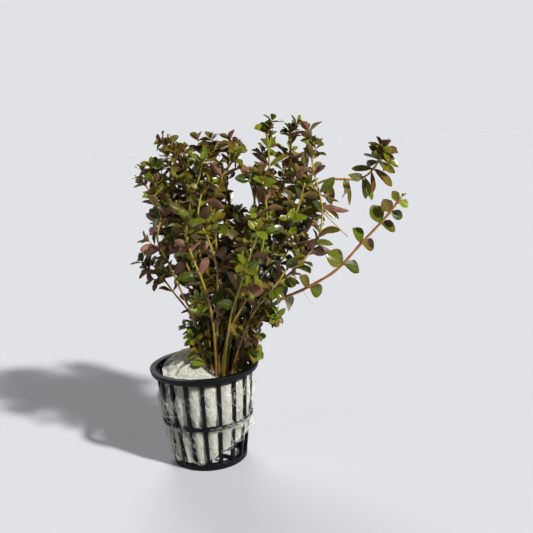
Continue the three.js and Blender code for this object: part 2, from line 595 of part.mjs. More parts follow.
// A shoot as one closed skin. The stem is a four-sided tube that ends in a bud. Where a leaf grows, the
// side of the tube opens into the leaf: two three-cornered sections, edge to edge and along the keel,
// and its tip.
function shootSkin(line, shoot, leaves) {
  const rings = stemRings(line, shoot, leaves);
  const corners = [];
  const triangles = [];
  const addCorner = (point) => corners.push(point) - 1;
  const addRing = ({ distance, angle }, radius) => {
    const { back, side } = frameAt(line, distance);
    const middle = pointAt(line, distance);
    return [0, 1, 2, 3].map((corner) => {
      const turn = angle + (corner - 0.5) * quarterTurn;
      return addCorner(middle.clone().addScaledVector(back, radius * Math.cos(turn))
        .addScaledVector(side, radius * Math.sin(turn)));
    });
  };
  const fullness = (a, b, c) => corners[a].dot(corners[b].clone().cross(corners[c]));
  // The faces between two loops of corners: of all the ways to lace them, the one that holds most. An edge
  // is used once only, so that the base isn't pinched.
  const laced = (near, far) => {
    let best = { total: -Infinity };
    const walk = (start, i, j, total, faces, used) => {
      if (i === near.length && j === far.length) {
        if (total > best.total) best = { total, faces };
        return;
      }
      const edge = (i % near.length) * far.length + (j % far.length);
      if (used.includes(edge)) return;
      const here = near[(start + i) % near.length];
      const there = far[j % far.length];
      const step = (stepNear, stepFar, next) => walk(
        start, i + stepNear, j + stepFar, total + fullness(here, next, there),
        [...faces, here, next, there], [...used, edge],
      );
      if (i < near.length) step(1, 0, near[(start + i + 1) % near.length]);
      if (j < far.length) step(0, 1, far[(j + 1) % far.length]);
    };
    near.forEach((_, start) => walk(start, 0, 0, 0, [], []));
    return best.faces;
  };
  const addLeaf = (leaf, quad) => {
    const stations = leaf.length > smallLeaf ? leafStations : [smallLeafStation];
    const sections = stations.map((t) => [
      addCorner(bladePoint(leaf, t, 0, -leafThickness)),
      addCorner(bladePoint(leaf, t, -1)),
      addCorner(bladePoint(leaf, t, 1)),
    ]);
    triangles.push(...laced(quad, sections[0]));
    sections.slice(1).forEach((outer, index) => {
      const inner = sections[index];
      for (let i = 0; i < 3; i += 1) {
        const next = (i + 1) % 3;
        triangles.push(inner[i], inner[next], outer[next], inner[i], outer[next], outer[i]);
      }
    });
    const end = sections[sections.length - 1];
    const tip = addCorner(bladePoint(leaf, 1, 0));
    for (let i = 0; i < 3; i += 1) triangles.push(end[i], end[(i + 1) % 3], tip);
  };
  const radii = rings.map(({ distance }) => THREE.MathUtils.lerp(stemFootRadius, stemTipRadius, distance / line.length));
  radii[radii.length - 1] = budRadius;
  const loops = rings.map((one, index) => addRing(one, radii[index]));
  const foot = loops[0];
  triangles.push(foot[0], foot[2], foot[1], foot[0], foot[3], foot[2]);
  loops.slice(1).forEach((upper, index) => {
    const lower = loops[index];
    for (let side = 0; side < 4; side += 1) {
      const next = (side + 1) % 4;
      const quad = [lower[side], lower[next], upper[next], upper[side]];
      const growth = rings[index].grown.find((one) => one.side === side);
      if (growth) addLeaf(growth.leaf, quad);
      else triangles.push(quad[0], quad[1], quad[2], quad[0], quad[2], quad[3]);
    }
  });
  const last = loops[loops.length - 1];
  const { along } = frameAt(line, line.length);
  const apex = addCorner(pointAt(line, line.length).addScaledVector(along, budLength));
  for (let side = 0; side < 4; side += 1) triangles.push(last[side], last[(side + 1) % 4], apex);
  const geometry = new THREE.BufferGeometry().setFromPoints(corners);
  geometry.setIndex(triangles);
  return geometry;
}

function named(name, solid, colour, roughness) {
  const material = new THREE.MeshStandardMaterial({ color: colour, roughness, metalness: 0, flatShading: true });
  const mesh = new THREE.Mesh(toGeometry(solid), material);
  mesh.name = name;
  return mesh;
}

const group = new THREE.Group();
group.add(named("net_pot", netPot(), "#15161a", 0.35));
group.add(named("mineral_wool", mineralWool(), "#c9c8b4", 0.95));
const { lines, placed } = growLeaves();
Object.entries(shoots).forEach(([name, shoot], index) => {
  const leaves = placed.filter((leaf) => leaf.shootIndex === index);
  const skin = toSolid(shootSkin(lines[index], shoot, leaves));
  group.add(named(`shoot_${name}`, skin, shoot.colour, 0.4));
});

export default group;
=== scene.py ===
# Potted rotala rotundifolia: leafy stems in mineral wool in a black net pot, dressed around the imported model
import bpy
import numpy as np
from mathutils import Matrix


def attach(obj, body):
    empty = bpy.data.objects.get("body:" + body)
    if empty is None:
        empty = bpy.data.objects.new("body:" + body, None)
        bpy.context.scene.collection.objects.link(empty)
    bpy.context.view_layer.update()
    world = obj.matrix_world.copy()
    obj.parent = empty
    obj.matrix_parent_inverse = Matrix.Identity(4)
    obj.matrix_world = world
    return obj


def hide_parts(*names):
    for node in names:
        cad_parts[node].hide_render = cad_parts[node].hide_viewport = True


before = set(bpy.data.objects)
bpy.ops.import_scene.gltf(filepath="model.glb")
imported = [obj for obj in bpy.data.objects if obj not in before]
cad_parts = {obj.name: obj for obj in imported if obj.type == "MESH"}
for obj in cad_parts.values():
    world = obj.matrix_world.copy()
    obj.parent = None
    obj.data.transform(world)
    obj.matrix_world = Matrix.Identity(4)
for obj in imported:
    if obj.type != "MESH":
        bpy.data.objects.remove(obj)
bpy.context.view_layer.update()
print("frame loaded:", len(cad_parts), "nodes")

millimetre = 0.001  # shapes are worked out in millimetres and written in metres
upward = np.array([0, 0, 1.0])


# v divided by its length
def unit(v):
    return v / np.linalg.norm(v, axis=-1, keepdims=True)


# 0 below low, 1 above high, 3x^2 - 2x^3 between
def eased(value, low, high):
    x = np.clip((value - low) / (high - low), 0, 1)
    return x * x * (3 - 2 * x)


# low + (high - low) share
def between(ends, share):
    return ends[0] + (ends[1] - ends[0]) * share


# angles evenly round the upright axis: 2 pi (i + start) / count
def turns(count, start=0):
    return 2 * np.pi * (np.arange(count) + start) / count


# points round the upright axis: (r cos a, r sin a, z)
def polar(radius, angle, z):
    return np.stack(np.broadcast_arrays(radius * np.cos(angle), radius * np.sin(angle), z), -1)


# the rows that are picked out of a dictionary of arrays
def picked(fields, which):
    return {key: value[which] for key, value in fields.items()}


# smooth field from -1 to 1: values hashed at whole-number corners, blended with 3w^2 - 2w^3
def bumps(points, seed=0.0):
    cell = np.floor(points)
    w = points - cell
    w = w * w * (3 - 2 * w)
    total = 0.0
    for corner in np.ndindex(2, 2, 2):
        value = np.sin((cell + corner) @ np.array([12.9898, 78.233, 37.719]) + 4.17 * seed) * 43758.5453
        share = np.prod(np.where(np.array(corner) == 1, w, 1 - w), axis=-1)
        total = total + share * (2 * (value - np.floor(value)) - 1)
    return total


# Gathers the points and faces of one piece; every face corner has a uv and a tone (four numbers)
class Skin:
    def __init__(self):
        self.points, self.faces, self.edges, self.count = [], [], [], 0

    def addPoints(self, points):
        start = self.count
        self.points.append(points.reshape(-1, 3))
        self.count += len(self.points[-1])
        return start + np.arange(self.count - start).reshape(points.shape[:-1])

    def addFaces(self, corners, uv, tone, slot):
        size = corners.shape[-1]
        tone = np.broadcast_to(tone, corners.shape + (4,))
        uv = np.broadcast_to(uv, corners.shape + (2,))
        self.faces.append((corners.reshape(-1, size), uv.reshape(-1, 2), tone.reshape(-1, 4), slot))

    def build(self, name, materials):
        corners, uvs, tones, slots = zip(*self.faces)
        points = np.vstack(self.points) * millimetre
        sizes = np.concatenate([np.full(len(faces), faces.shape[1]) for faces in corners])
        slots = np.concatenate([np.full(len(faces), slot) for faces, slot in zip(corners, slots)])
        corners = np.concatenate([faces.ravel() for faces in corners])
        mesh = bpy.data.meshes.new(name)
        mesh.vertices.add(len(points))
        mesh.loops.add(len(corners))
        mesh.polygons.add(len(sizes))
        mesh.vertices.foreach_set("co", points.ravel().astype(np.float32))
        mesh.loops.foreach_set("vertex_index", corners.astype(np.int32))
        mesh.polygons.foreach_set("loop_start", (np.cumsum(sizes) - sizes).astype(np.int32))
        mesh.polygons.foreach_set("material_index", slots.astype(np.int32))
        mesh.update(calc_edges=True)
        mesh.shade_smooth()
        surface = mesh.uv_layers.new(name="surface")
        surface.data.foreach_set("uv", np.vstack(uvs).ravel().astype(np.float32))
        tone = mesh.attributes.new("tone", "FLOAT_COLOR", "CORNER")
        tone.data.foreach_set("color", np.vstack(tones).ravel().astype(np.float32))
        if self.edges:  # edges between two marked points stay sharp
            marked = np.zeros(len(points), bool)
            marked[np.concatenate([edge.ravel() for edge in self.edges])] = True
            ends = np.empty(2 * len(mesh.edges), np.int32)
            mesh.edges.foreach_get("vertices", ends)
            mesh.edges.foreach_set("use_edge_sharp", marked[ends].reshape(-1, 2).all(1))
        for material in materials:
            mesh.materials.append(material)
        piece = bpy.data.objects.new(name, mesh)
        bpy.context.scene.collection.objects.link(piece)
        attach(piece, "root")
        return piece


# Closed skins over rings of points, grid (skins, rings, corners, 3). With poles (skins, 2, 3) the end rings
# close to a point; without, the last ring meets the first. reach runs along the rings, around across them.
def shell(skin, grid, poles, reach, tone=0.0, slot=0, around=None):
    skins, _, corners, _ = grid.shape
    index = skin.addPoints(grid)
    rows = index if poles is not None else np.concatenate([index, index[:, :1]], 1)
    after = np.roll(rows, -1, axis=2)
    reach = np.broadcast_to(reach, rows.shape[:2])[:, :, None]
    tone = np.broadcast_to(tone, (skins, rows.shape[1], corners, 4))
    around = np.arange(corners + 1) / corners if around is None else around
    near, far = reach[:, :-1], reach[:, 1:]
    sides = [(near, around[:-1]), (near, around[1:]), (far, around[1:]), (far, around[:-1])]
    uv = np.stack([np.stack(np.broadcast_arrays(u, v), -1) for u, v in sides], -2)
    quads = np.stack([rows[:, :-1], after[:, :-1], after[:, 1:], rows[:, 1:]], -1)
    quadTone = np.stack([tone[:, :-1], tone[:, :-1], tone[:, 1:], tone[:, 1:]], -2)
    skin.addFaces(quads, uv, quadTone, slot)
    if poles is None:
        return index
    ends = skin.addPoints(poles)
    across = np.stack([(around[:-1] + around[1:]) / 2, around[:-1], around[1:]], -1)
    for end, row, order in ((0, 0, [0, 2, 1]), (1, -1, [0, 1, 2])):
        pole = np.broadcast_to(ends[:, end, None], (skins, corners))
        caps = np.stack([pole, rows[:, row], after[:, row]], -1)[..., order]
        uv = np.stack(np.broadcast_arrays(reach[:, row, None], across[:, order]), -1)
        skin.addFaces(caps, uv, tone[:, row, :, None, :], slot)
    return index


# Closed outline of points with rounded corners: |cos a|^(2/n), |sin a|^(2/n) with their signs
def softSquare(count, power):
    wave = polar(1, turns(count, 0.5), 0)[:, :2]
    return np.sign(wave) * np.abs(wave) ** (2 / power)


# Outline carried along paths (skins, points, 3): path + outline x first + outline y second
def carried(skin, paths, first, second, outline, tone=0.0, slot=0, closed=False):
    grid = (paths[:, :, None] + outline[:, 0, None] * np.broadcast_to(first, paths.shape)[:, :, None]
            + outline[:, 1, None] * np.broadcast_to(second, paths.shape)[:, :, None])
    step = np.linalg.norm(np.diff(paths, axis=1), axis=-1)
    reach = np.concatenate([np.zeros((len(paths), 1)), np.cumsum(step, axis=1)], 1)
    if closed:
        gap = np.linalg.norm(paths[:, :1] - paths[:, -1:], axis=-1)
        reach = np.concatenate([reach, reach[:, -1:] + gap], 1)
    return shell(skin, grid, None if closed else paths[:, [0, -1]], reach, tone, slot)


# Round threads along paths: a circle of the given radii, square to the path
def threads(skin, paths, radii, sides, reference, tone, slot=0):
    along = unit(np.gradient(paths, axis=1))
    first = unit(np.cross(along, reference))
    second = np.cross(along, first)
    radii = np.broadcast_to(radii, paths.shape[:2])[:, :, None]
    circle = polar(1, turns(sides), 0)[:, :2]
    return carried(skin, paths, first * radii, second * radii, circle, tone, slot)


# Wraps a node's output, so that shader maths reads as arithmetic; each operator adds one Math node
class Wire:
    def __init__(self, paint, socket):
        self.paint, self.socket = paint, socket

    def maths(self, operation, *values):
        return self.paint.add("Math", {"operation": operation}, dict(enumerate(values)))

    def __add__(self, other):
        return self.maths("ADD", self, other)

    def __sub__(self, other):
        return self.maths("SUBTRACT", self, other)

    def __rsub__(self, other):
        return self.maths("SUBTRACT", other, self)

    def __mul__(self, other):
        return self.maths("MULTIPLY", self, other)

    def __abs__(self):
        return self.maths("ABSOLUTE", self)

    __radd__ = __add__
    __rmul__ = __mul__

    def fract(self):
        return self.maths("FRACT", self)

    def sine(self):
        return self.maths("SINE", self)

    # 0 at low, 1 at high, smooth between
    def ramp(self, low, high):
        ends = {"Value": self, "From Min": low, "From Max": high}
        return self.paint.add("MapRange", {"interpolation_type": "SMOOTHSTEP"}, ends)


# One material's nodes; add() makes any node from its type, settings, and socket values or links
class Paint:
    def __init__(self, name, **constants):
        self.material = bpy.data.materials.new(name)
        self.material.use_nodes = True
        self.tree = self.material.node_tree
        self.surface = self.tree.nodes["Principled BSDF"]
        for socket, value in constants.items():
            self.surface.inputs[socket.replace("_", " ")].default_value = value

    def feed(self, socket, value):
        if isinstance(value, Wire):
            self.tree.links.new(value.socket, socket)
        else:
            socket.default_value = value

    def add(self, kind, settings=None, sockets=None, output=0):
        node = self.tree.nodes.new("ShaderNode" + kind)
        for setting, value in (settings or {}).items():
            setattr(node, setting, value)
        for socket, value in (sockets or {}).items():
            self.feed(node.inputs[socket], value)
        return Wire(self, node.outputs[output])

    def mix(self, share, first, second):
        colours = [value if isinstance(value, Wire) else (*value, 1.0) for value in (first, second)]
        settings = {"data_type": "RGBA", "clamp_factor": True}
        return self.add("Mix", settings, {0: share, 6: colours[0], 7: colours[1]}, 2)

    # the three numbers of a vector
    def parts(self, vector):
        return [self.add("SeparateXYZ", None, {0: vector}, axis) for axis in range(3)]

    def noise(self, vector, scale, detail=3.0, roughness=0.5):
        sockets = {"Vector": vector, "Scale": scale, "Detail": detail, "Roughness": roughness}
        return self.add("TexNoise", None, sockets)

    # objects' own coordinates, stretched by a factor for each axis
    def place(self, stretch=(1, 1, 1)):
        vector = self.add("TexCoord", None, None, "Object")
        return self.add("VectorMath", {"operation": "MULTIPLY"}, {0: vector, 1: stretch})

    def uv(self):
        return self.add("UVMap", {"uv_map": "surface"})

    # the four numbers of the tone attribute
    def tone(self):
        colour = self.add("Attribute", {"attribute_name": "tone"}, None, "Color")
        shares = [self.add("SeparateColor", None, {0: colour}, axis) for axis in range(3)]
        return shares + [self.add("Attribute", {"attribute_name": "tone"}, None, "Alpha")]

    # connects colour, roughness and the height that drives a Bump node, and gives back the material
    def finish(self, colour, roughness, height, depth, coat=None):
        self.feed(self.surface.inputs["Base Color"], colour)
        self.feed(self.surface.inputs["Roughness"], roughness)
        normal = self.add("Bump", None, {"Height": height, "Distance": depth, "Strength": 1.0})
        self.feed(self.surface.inputs["Normal"], normal)
        if coat is not None:
            self.feed(self.surface.inputs["Coat Weight"], coat)
        return self.material


# Where the plant's shoots run and how they are leaved: the same rule and table as the solids
leafing = {
    "roundness": (1.15, 0.8),  # outline of a leaf: sin(pi t^a)^b
    "sag": 0.13,  # how far a blade bends down along its length
    "cup": 0.16,  # how far its edges bend up
    "open": 62,  # degrees between an old leaf and its stem
    "closed": 26,  # how much less that is at the tip
    "leastLift": 26,
    "young": 0.42,  # how much smaller the tip's leaves are
    "varied": (0.14, 0.16, 16, 16, 24),  # the most that length, width, place round, lift and roll vary
    "facing": 0.8,  # how far blades turn to face away from the bush
    "folded": (30, 55),  # degrees of lift over which that turning comes in
    "backward": 0.42,  # leaves whose spread is above this show their undersides
    "bush": (8, 8, 45),  # the foot of the bunch's middle line
    "lean": 0.17,  # how far that line leans to the right
    "spread": 1.6,  # how much more depth counts than width
    "outward": 0.8, "frontward": (0, -0.35, 0.45),  # what a facing blade's direction is made of
    "gap": 0.75,  # room kept between leaves
    "ownGap": 0.6,  # room kept between a leaf and its own stem
    "tested": (0.12, 1.06),  # the part of a leaf's length that has to stay clear
    "floorGap": 0.6,  # room kept above the wool and the rim
    "crowding": (0.68, 0.45),  # how the gaps between pairs close up towards the tip
    "footRadius": 0.62, "tipRadius": 0.4,  # of a stem
    "lowest": 47.5,  # no pair that is left to the scene grows below this height
    "morePairs": 9,  # finer leaf pairs under those of the solids
    # the open gap between the two lobes: place, slopes of x and z with y, half width and half height
    "openGap": (23.6, -10, 129, -0.027, -0.091, 5.6, 9.5),
    "most": 4000,  # leaves there is room for
}


# One shoot: its kind, leaf pairs, gap between them, leaf length, width as a share of that, the first pair's
# angle round the stem, the stem's route up from the wool, and the turn from pair to pair. Some have more:
# nodes, the first pairs' distances from the tip; more, pairs in the scene alone; open, droop and face, how
# blades stand; warm, light, rosy and stemWarm, tones; stemScale, thickness of the stem; twigs, crown and
# twigScale, side twigs; tip and tipLeaf, the leaves at the tip; loose, how far blades curl
def planted(kind, pairs, gap, leaf, width, spin, route, turn=90, **special):
    return {"colour": kind, "pairs": pairs, "gap": gap, "leaf": leaf, "width": width, "spin": spin,
            "route": route, "turn": turn, **special}


shoots = {
    "front_left": planted("green", 5, 9, 10, 0.47, 20, [(5.6, -6, 29), (6, -8, 45), (7, -19, 73),
        (5, -27, 91), (1, -31, 106), (-1, -30, 117)], more=2),
    "front_centre": planted("bright", 5, 9.5, 10.5, 0.46, 65, [(8.6, -6.6, 29), (9.5, -9, 45),
        (15, -21, 74), (21, -29, 91), (27, -33, 107), (32, -34, 117)], more=1, light=0.5, warm=0.3),
    "right_low": planted("olive", 5, 9, 10, 0.5, 10, [(11.8, -5.6, 29), (14, -7.5, 47), (24, -14, 72),
        (34, -18, 85), (43, -16, 96), (50, -13, 106)], more=3),
    "small_right": planted("olive", 4, 7.5, 10.5, 0.45, 50, [(13, -3.4, 29), (15.4, -5, 48), (21, -7.5, 58),
        (27, -9, 68), (32, -12, 74)], turn=55),
    "small_left": planted("bright", 3, 7, 7, 0.6, 80, [(2.6, -4.6, 30), (2, -6, 46), (0, -8.5, 56),
        (-2.5, -10.5, 66)], turn=70),
    "left_front": planted("green", 5, 9.5, 9.5, 0.47, 45, [(5.2, -3.6, 29), (5.8, -5, 45), (9, -12, 76),
        (10.5, -20, 97), (8, -24, 111), (4.5, -24, 121), (7, -21, 133)], more=4),
    "golden_front": planted("green", 5, 9.5, 9.5, 0.48, 15, [(7.8, -4, 29), (8.6, -5, 45), (13.4, -10, 65),
        (23, -14.5, 82), (29, -18, 98), (33, -20, 113), (34, -20, 123), (33, -19, 134)], more=0,
        stemScale=1.15),
    "lime_front": planted("bright", 5, 9.5, 9.5, 0.5, 80, [(10.3, -3.2, 29), (11, -4.4, 46),
        (15.5, -6.5, 69), (20, -13, 89), (22, -17.5, 102), (26.5, -16.5, 114), (29, -15, 125),
        (27, -13, 136)], more=3, light=0.46, warm=0.3, stemScale=1.1),
    "left_arch": planted("green", 6, 7.8, 9.5, 0.52, 85, [(1.6, -1.9, 29.5), (0, -2.6, 48),
        (-2.5, -4.5, 69), (-7, -8, 84), (-11, -14, 99), (-15, -16, 111), (-13, -14, 121), (-16, -11, 131)],
        more=1),
    "left_centre": planted("green", 4, 9, 10, 0.46, 5, [(4, -1.1, 29), (3.4, -1.8, 47), (3, -5, 77),
        (0, -12, 102), (0, -17, 122), (4, -17.5, 133), (7, -17, 141)], more=4),
    "gap_left": planted("olive", 4, 10, 9.5, 0.46, 85, [(6.6, -1.4, 29), (7, -1.8, 46), (11, -1.5, 78),
        (10, -5, 106), (11, -8.5, 127), (15, -10.5, 136), (20, -9, 143), (22, -7, 150)]),
    "top_centre": planted("bright", 5, 11, 11, 0.46, 80, [(9.4, -0.7, 29), (10, -1, 46), (20, -4, 78),
        (29, -7, 102), (35, -8, 124), (36.5, -4, 142), (36, -3, 157)], more=3, stemScale=1.1),
    "right_column": planted("olive", 7, 10, 9.5, 0.5, 75, [(12.6, -0.8, 29), (14.4, -1.8, 47), (25, -8, 75),
        (39, -12, 88), (50, -14, 98), (57, -12, 108), (59, -8, 121), (56, -4, 139), (57, -2, 150)], turn=70,
        more=3),
    "right_inner": planted("green", 5, 9.5, 10, 0.5, 70, [(15.2, -0.6, 29), (17.4, -0.8, 49),
        (25.6, -3.8, 76), (34.5, -8.5, 95), (43.6, -11, 110), (48.7, -10, 122), (52, -8, 132)]),
    "right_outer": planted("olive", 5, 9, 9.5, 0.5, 75, [(13.7, 5.2, 29.5), (15.6, 6.6, 50),
        (26.6, 12.5, 74), (41, 12.5, 94), (51, 11, 111), (55.5, 9.5, 125)], turn=80),
    "left_mid": planted("green", 5, 9, 9.5, 0.5, 65, [(2, 0.4, 29), (1, -0.4, 49), (0.6, -1, 78),
        (-6, -3, 101), (-10.5, -6, 115), (-11, -8, 124), (-9, -8, 133)]),
    "left_low": planted("olive", 4, 7.5, 9, 0.48, 60, [(0.3, 1.6, 29.5), (-1.7, 1.9, 50), (-4.4, 2.6, 69),
        (-12, 2.4, 82), (-18, 4.6, 90), (-25, 8, 94)], more=0),
    "top_left": planted("olive", 5, 9.5, 8.5, 0.5, 80, [(3.5, 1.4, 29), (2.4, 1.8, 50), (3.4, 2.6, 78),
        (1, 3.6, 104), (-2, 2, 128), (-3, 0, 143), (-8, -2, 153)]),
    "gap_floor": planted("green", 4, 8.5, 9.5, 0.48, 30, [(6.4, 1.2, 29), (7, 1.4, 47), (13.5, 3.5, 80),
        (19.5, 6.5, 104), (18, 7.5, 118), (14.5, 5, 128)]),
    "crossing": planted("maroon", 4, 9, 10, 0.5, 35, [(9, 1.8, 29), (10, 2.2, 47), (23.5, 6.5, 80),
        (36, 4, 103), (41, -1, 121), (37.5, -9, 131), (30, -9.5, 136)]),
    "long_spray": planted("olive", 7, 16, 8.2, 0.86, 86, [(14.7, 1.4, 29), (17, 1, 51), (25, 0, 68),
        (38, -3, 77), (50, -6, 82.5), (64, -10, 91), (76, -14, 104), (86, -18, 115), (93, -20, 124)],
        turn=5, nodes=(3, 8.5, 15, 27.5, 40.5, 60, 73), open=84, face=(0.1, -0.94, 0.32), warm=0.34,
        light=0.42, stemWarm=0.85, stemScale=1.35, rosy=-0.1, more=0, twigs=2, tip=1, tipLeaf=7, loose=0.3),
    "far_left": planted("maroon", 5, 9, 9, 0.44, 70, [(1.2, 3.4, 29.5), (-1.4, 4.4, 52), (-2.5, 8, 72),
        (-10, 10, 96), (-14, 6, 116), (-17, 2, 127), (-22, 0, 136)]),
    "left_upper": planted("green", 4, 8.5, 9, 0.5, 25, [(4.2, 4, 29), (2.4, 5.2, 53), (-0.6, 10.5, 77),
        (-5.4, 12, 103), (-10, 10, 123), (-13.5, 5, 133), (-17, 3, 141)]),
    "red_stem": planted("olive", 4, 9, 8.5, 0.48, 60, [(6.9, 3.7, 29), (7, 4.4, 48), (8.5, 11, 80),
        (9.5, 13, 110), (10, 11, 131), (11, 8, 143), (12, 6, 150)]),
    "top_right": planted("olive", 6, 9.5, 8.5, 0.52, 75, [(11.5, 3.9, 29), (13, 5, 47), (22, 14.5, 81),
        (36, 14.5, 112), (45, 11, 135), (47, 7, 147), (46.5, 4, 156)]),
    "high_spray": planted("maroon", 6, 10.5, 11.5, 0.34, 20, [(12.6, 1.3, 29), (15, 3.6, 50), (26, 10, 80),
        (43, 7.5, 106), (52, 2, 124.5), (62, -2, 131.5), (76, -6, 131.5), (83, -8, 136), (87.5, -10, 145)],
        turn=35, nodes=(3.2, 6.5, 10.5, 17, 25, 34), open=84, droop=0.7, face=(0.2, -0.96, 0.2), warm=0.5,
        light=0.45, stemWarm=0.6, stemScale=1.2, rosy=0.5, twigs=2, crown=2, twigScale=0.4, tip=5,
        tipLeaf=9.5),
    "left_back": planted("green", 4, 9.5, 9.5, 0.48, 50, [(3, 6.7, 29.5), (0, 9, 53), (-3, 18.5, 78),
        (-9, 25, 106), (-12, 23.5, 129), (-11, 21, 142)]),
    "top_left_inner": planted("maroon", 4, 9, 9, 0.46, 0, [(5.6, 6.2, 29), (4.6, 7.7, 51), (2.2, 14, 79),
        (-2.4, 15, 107), (-7, 11, 128), (-4, 8.5, 141), (-2, 8, 149)]),
    "pale_leaf": planted("bright", 4, 10, 11.5, 0.56, 40, [(8.2, 6.2, 29), (7.3, 8.4, 50), (6, 16.5, 78),
        (4, 18.5, 109), (4.5, 17, 133), (5, 15.5, 149)]),
    "right_mid": planted("olive", 4, 9.5, 9.5, 0.5, 15, [(11, 6.4, 29), (12.4, 8.2, 48), (22.5, 18.5, 77),
        (38.5, 22, 99), (48, 20, 121), (51, 16, 136)]),
    "broad_top": planted("green", 4, 9.5, 10, 0.5, 70, [(7, 8.5, 29), (7, 11.4, 51), (8.8, 19.5, 78),
        (13, 22.5, 112), (16.5, 20, 136), (17.5, 18.5, 148)]),
    "gap_back": planted("green", 4, 8, 9.5, 0.48, 10, [(9.6, 8.4, 29), (10.2, 11.4, 49), (13.4, 22, 80),
        (18.5, 28, 101), (21, 29, 117)]),
    "back_right": planted("olive", 4, 9.5, 9.5, 0.5, 55, [(12, 8.6, 29.5), (13.8, 11.6, 49), (23.5, 25, 79),
        (35, 32, 106), (42, 29, 128), (45, 25, 143)]),
    "back_left": planted("green", 4, 9.5, 9.5, 0.48, 35, [(4.9, 9, 29.5), (3.6, 12.6, 52), (0.4, 24, 81),
        (-4, 33, 109), (-5, 31.5, 131)]),
    "back_centre": planted("maroon", 4, 10, 9.5, 0.48, 65, [(8.8, 10.7, 29.5), (8.8, 15, 50),
        (14.5, 27.5, 79), (25, 36, 108), (31, 33, 131), (34, 29, 145)]),
}

spreadSteps = (0.754877666, 0.569840291, 0.618033989, 0.414213562, 0.732050808, 0.236067977)
turnsTried = [(0, 0), (24, 0), (-24, 0), (0, 20), (0, -20), (28, -12), (-28, -12), (28, 12), (-28, 12)]
sizesTried = (1, 0.72, 0.52)  # the solids try the first two
bladeKeys = ("base", "axis", "normal", "cross", "length", "width")


# even spread from -1 to 1 for item n: 2 frac((n + 1) step) - 1
def spread(n, kind):
    value = (n + 1) * spreadSteps[kind]
    return 2 * (value - np.floor(value)) - 1


# A route as a smooth line through its points: uniform Catmull-Rom, 240 steps, with the distance along it
class Line:
    def __init__(self, route):
        p = np.array(route, float)
        p = np.vstack([2 * p[0] - p[1], p, 2 * p[-1] - p[-2]])
        u = np.linspace(0, len(route) - 1, 241)
        i = np.minimum(u.astype(int), len(route) - 2)
        w = (u - i)[:, None]
        a, b, c, d = p[i], p[i + 1], p[i + 2], p[i + 3]
        t0, t1 = (c - a) / 2, (d - b) / 2
        self.points = b + t0 * w + (3 * (c - b) - 2 * t0 - t1) * w**2 + (2 * (b - c) + t0 + t1) * w**3
        self.reach = np.concatenate([[0], np.cumsum(np.linalg.norm(np.diff(self.points, axis=0), axis=1))])
        self.length = self.reach[-1]

    def at(self, distance):
        distance = np.clip(distance, 0, self.length)
        return np.stack([np.interp(distance, self.reach, self.points[:, k]) for k in range(3)], -1)

    # direction along the line, and two square to it: one to the back, one to the side
    def frame(self, distance):
        along = unit(self.at(distance + 0.8) - self.at(distance - 0.8))
        back = unit(np.array([0, 1.0, 0]) - along * along[..., 1:2])
        return along, back, np.cross(along, back)


# half a leaf's width along it, as a share of the greatest
def outlineShare(t):
    power, blunt = leafing["roundness"]
    return np.maximum(np.sin(np.pi * np.clip(t, 0, 1) ** power), 0) ** blunt


# a blade, or many at once: where it starts, the way it points, the way its face looks, its length and width
def blade(base, axis, normal, length, width, **facts):
    return {"base": base, "axis": axis, "normal": normal, "cross": np.cross(axis, normal), "length": length,
            "width": width, **facts}


# points of blades, (leaves, points, 3): base + axis L t + cross half a + normal (cup half a^2 - sag L t^2)
def bladePoints(leaf, t, across):
    length, width = leaf["length"][..., None], leaf["width"][..., None]
    half = width / 2 * outlineShare(t)
    rise = leafing["cup"] * half * across**2 - leafing["sag"] * length * t * t
    points = leaf["base"][..., None, :] + leaf["axis"][..., None, :] * (length * t)[..., None]
    points = points + leaf["cross"][..., None, :] * (half * across)[..., None]
    return points + leaf["normal"][..., None, :] * rise[..., None]


# a leaf on a stem; angles in radians: around the stem, away from it, and about its own axis
def leafOn(line, shoot, distance, azimuth, lift, roll, backward, length, width):
    along, back, side = line.frame(distance)
    base = line.at(distance)
    outward = back * np.cos(azimuth) + side * np.sin(azimuth)
    axis = unit(along * np.cos(lift) + outward * np.sin(lift) - upward * shoot.get("droop", 0))
    level = along * np.sin(lift) - outward * np.cos(lift)
    level = unit(level - axis * (level @ axis))
    foot = leafing["bush"]
    away = unit(np.array([base[0] - foot[0] - leafing["lean"] * (base[2] - foot[2]),
                          leafing["spread"] * (base[1] - foot[1]), 0]))
    facing = unit(leafing["outward"] * away + np.array(leafing["frontward"]))
    facing = np.array(shoot.get("face", facing))
    facing = unit(facing - axis * (facing @ axis))
    low, high = leafing["folded"]
    share = leafing["facing"] * np.clip((np.degrees(lift) - low) / (high - low), 0, 1)
    blend = unit(level * (1 - share) + facing * (-share if backward else share))
    normal = blend * np.cos(roll) + np.cross(axis, blend) * np.sin(roll)
    return blade(base, axis, normal, np.array(length), np.array(width), outward=outward, along=along)


# whether points (m, 3) lie within a gap of the blades of leaves (n): answer (n, m)
def touchesBlade(leaf, points, gap):
    away = points[None] - leaf["base"][:, None]
    length, width = leaf["length"][:, None], leaf["width"][:, None]
    t = np.einsum("nmk,nk->nm", away, leaf["axis"]) / length
    half = width / 2 * outlineShare(t) + gap
    across = np.abs(np.einsum("nmk,nk->nm", away, leaf["cross"]))
    share = np.minimum(1, across / half)
    rise = leafing["cup"] * width / 2 * share**2 - leafing["sag"] * length * t * t
    off = np.abs(np.einsum("nmk,nk->nm", away, leaf["normal"]) - rise)
    low, high = leafing["tested"]
    return (t >= low) & (t <= high) & (across <= half) & (off < gap)


# whether points lie in the open gap between the lobes
def inGap(points):
    x, y, z, slopeX, slopeZ, halfWidth, halfHeight = leafing["openGap"]
    across = (points[..., 0] - x - slopeX * (points[..., 1] - y)) / halfWidth
    up = (points[..., 2] - z - slopeZ * (points[..., 1] - y)) / halfHeight
    return across**2 + up**2 < 1


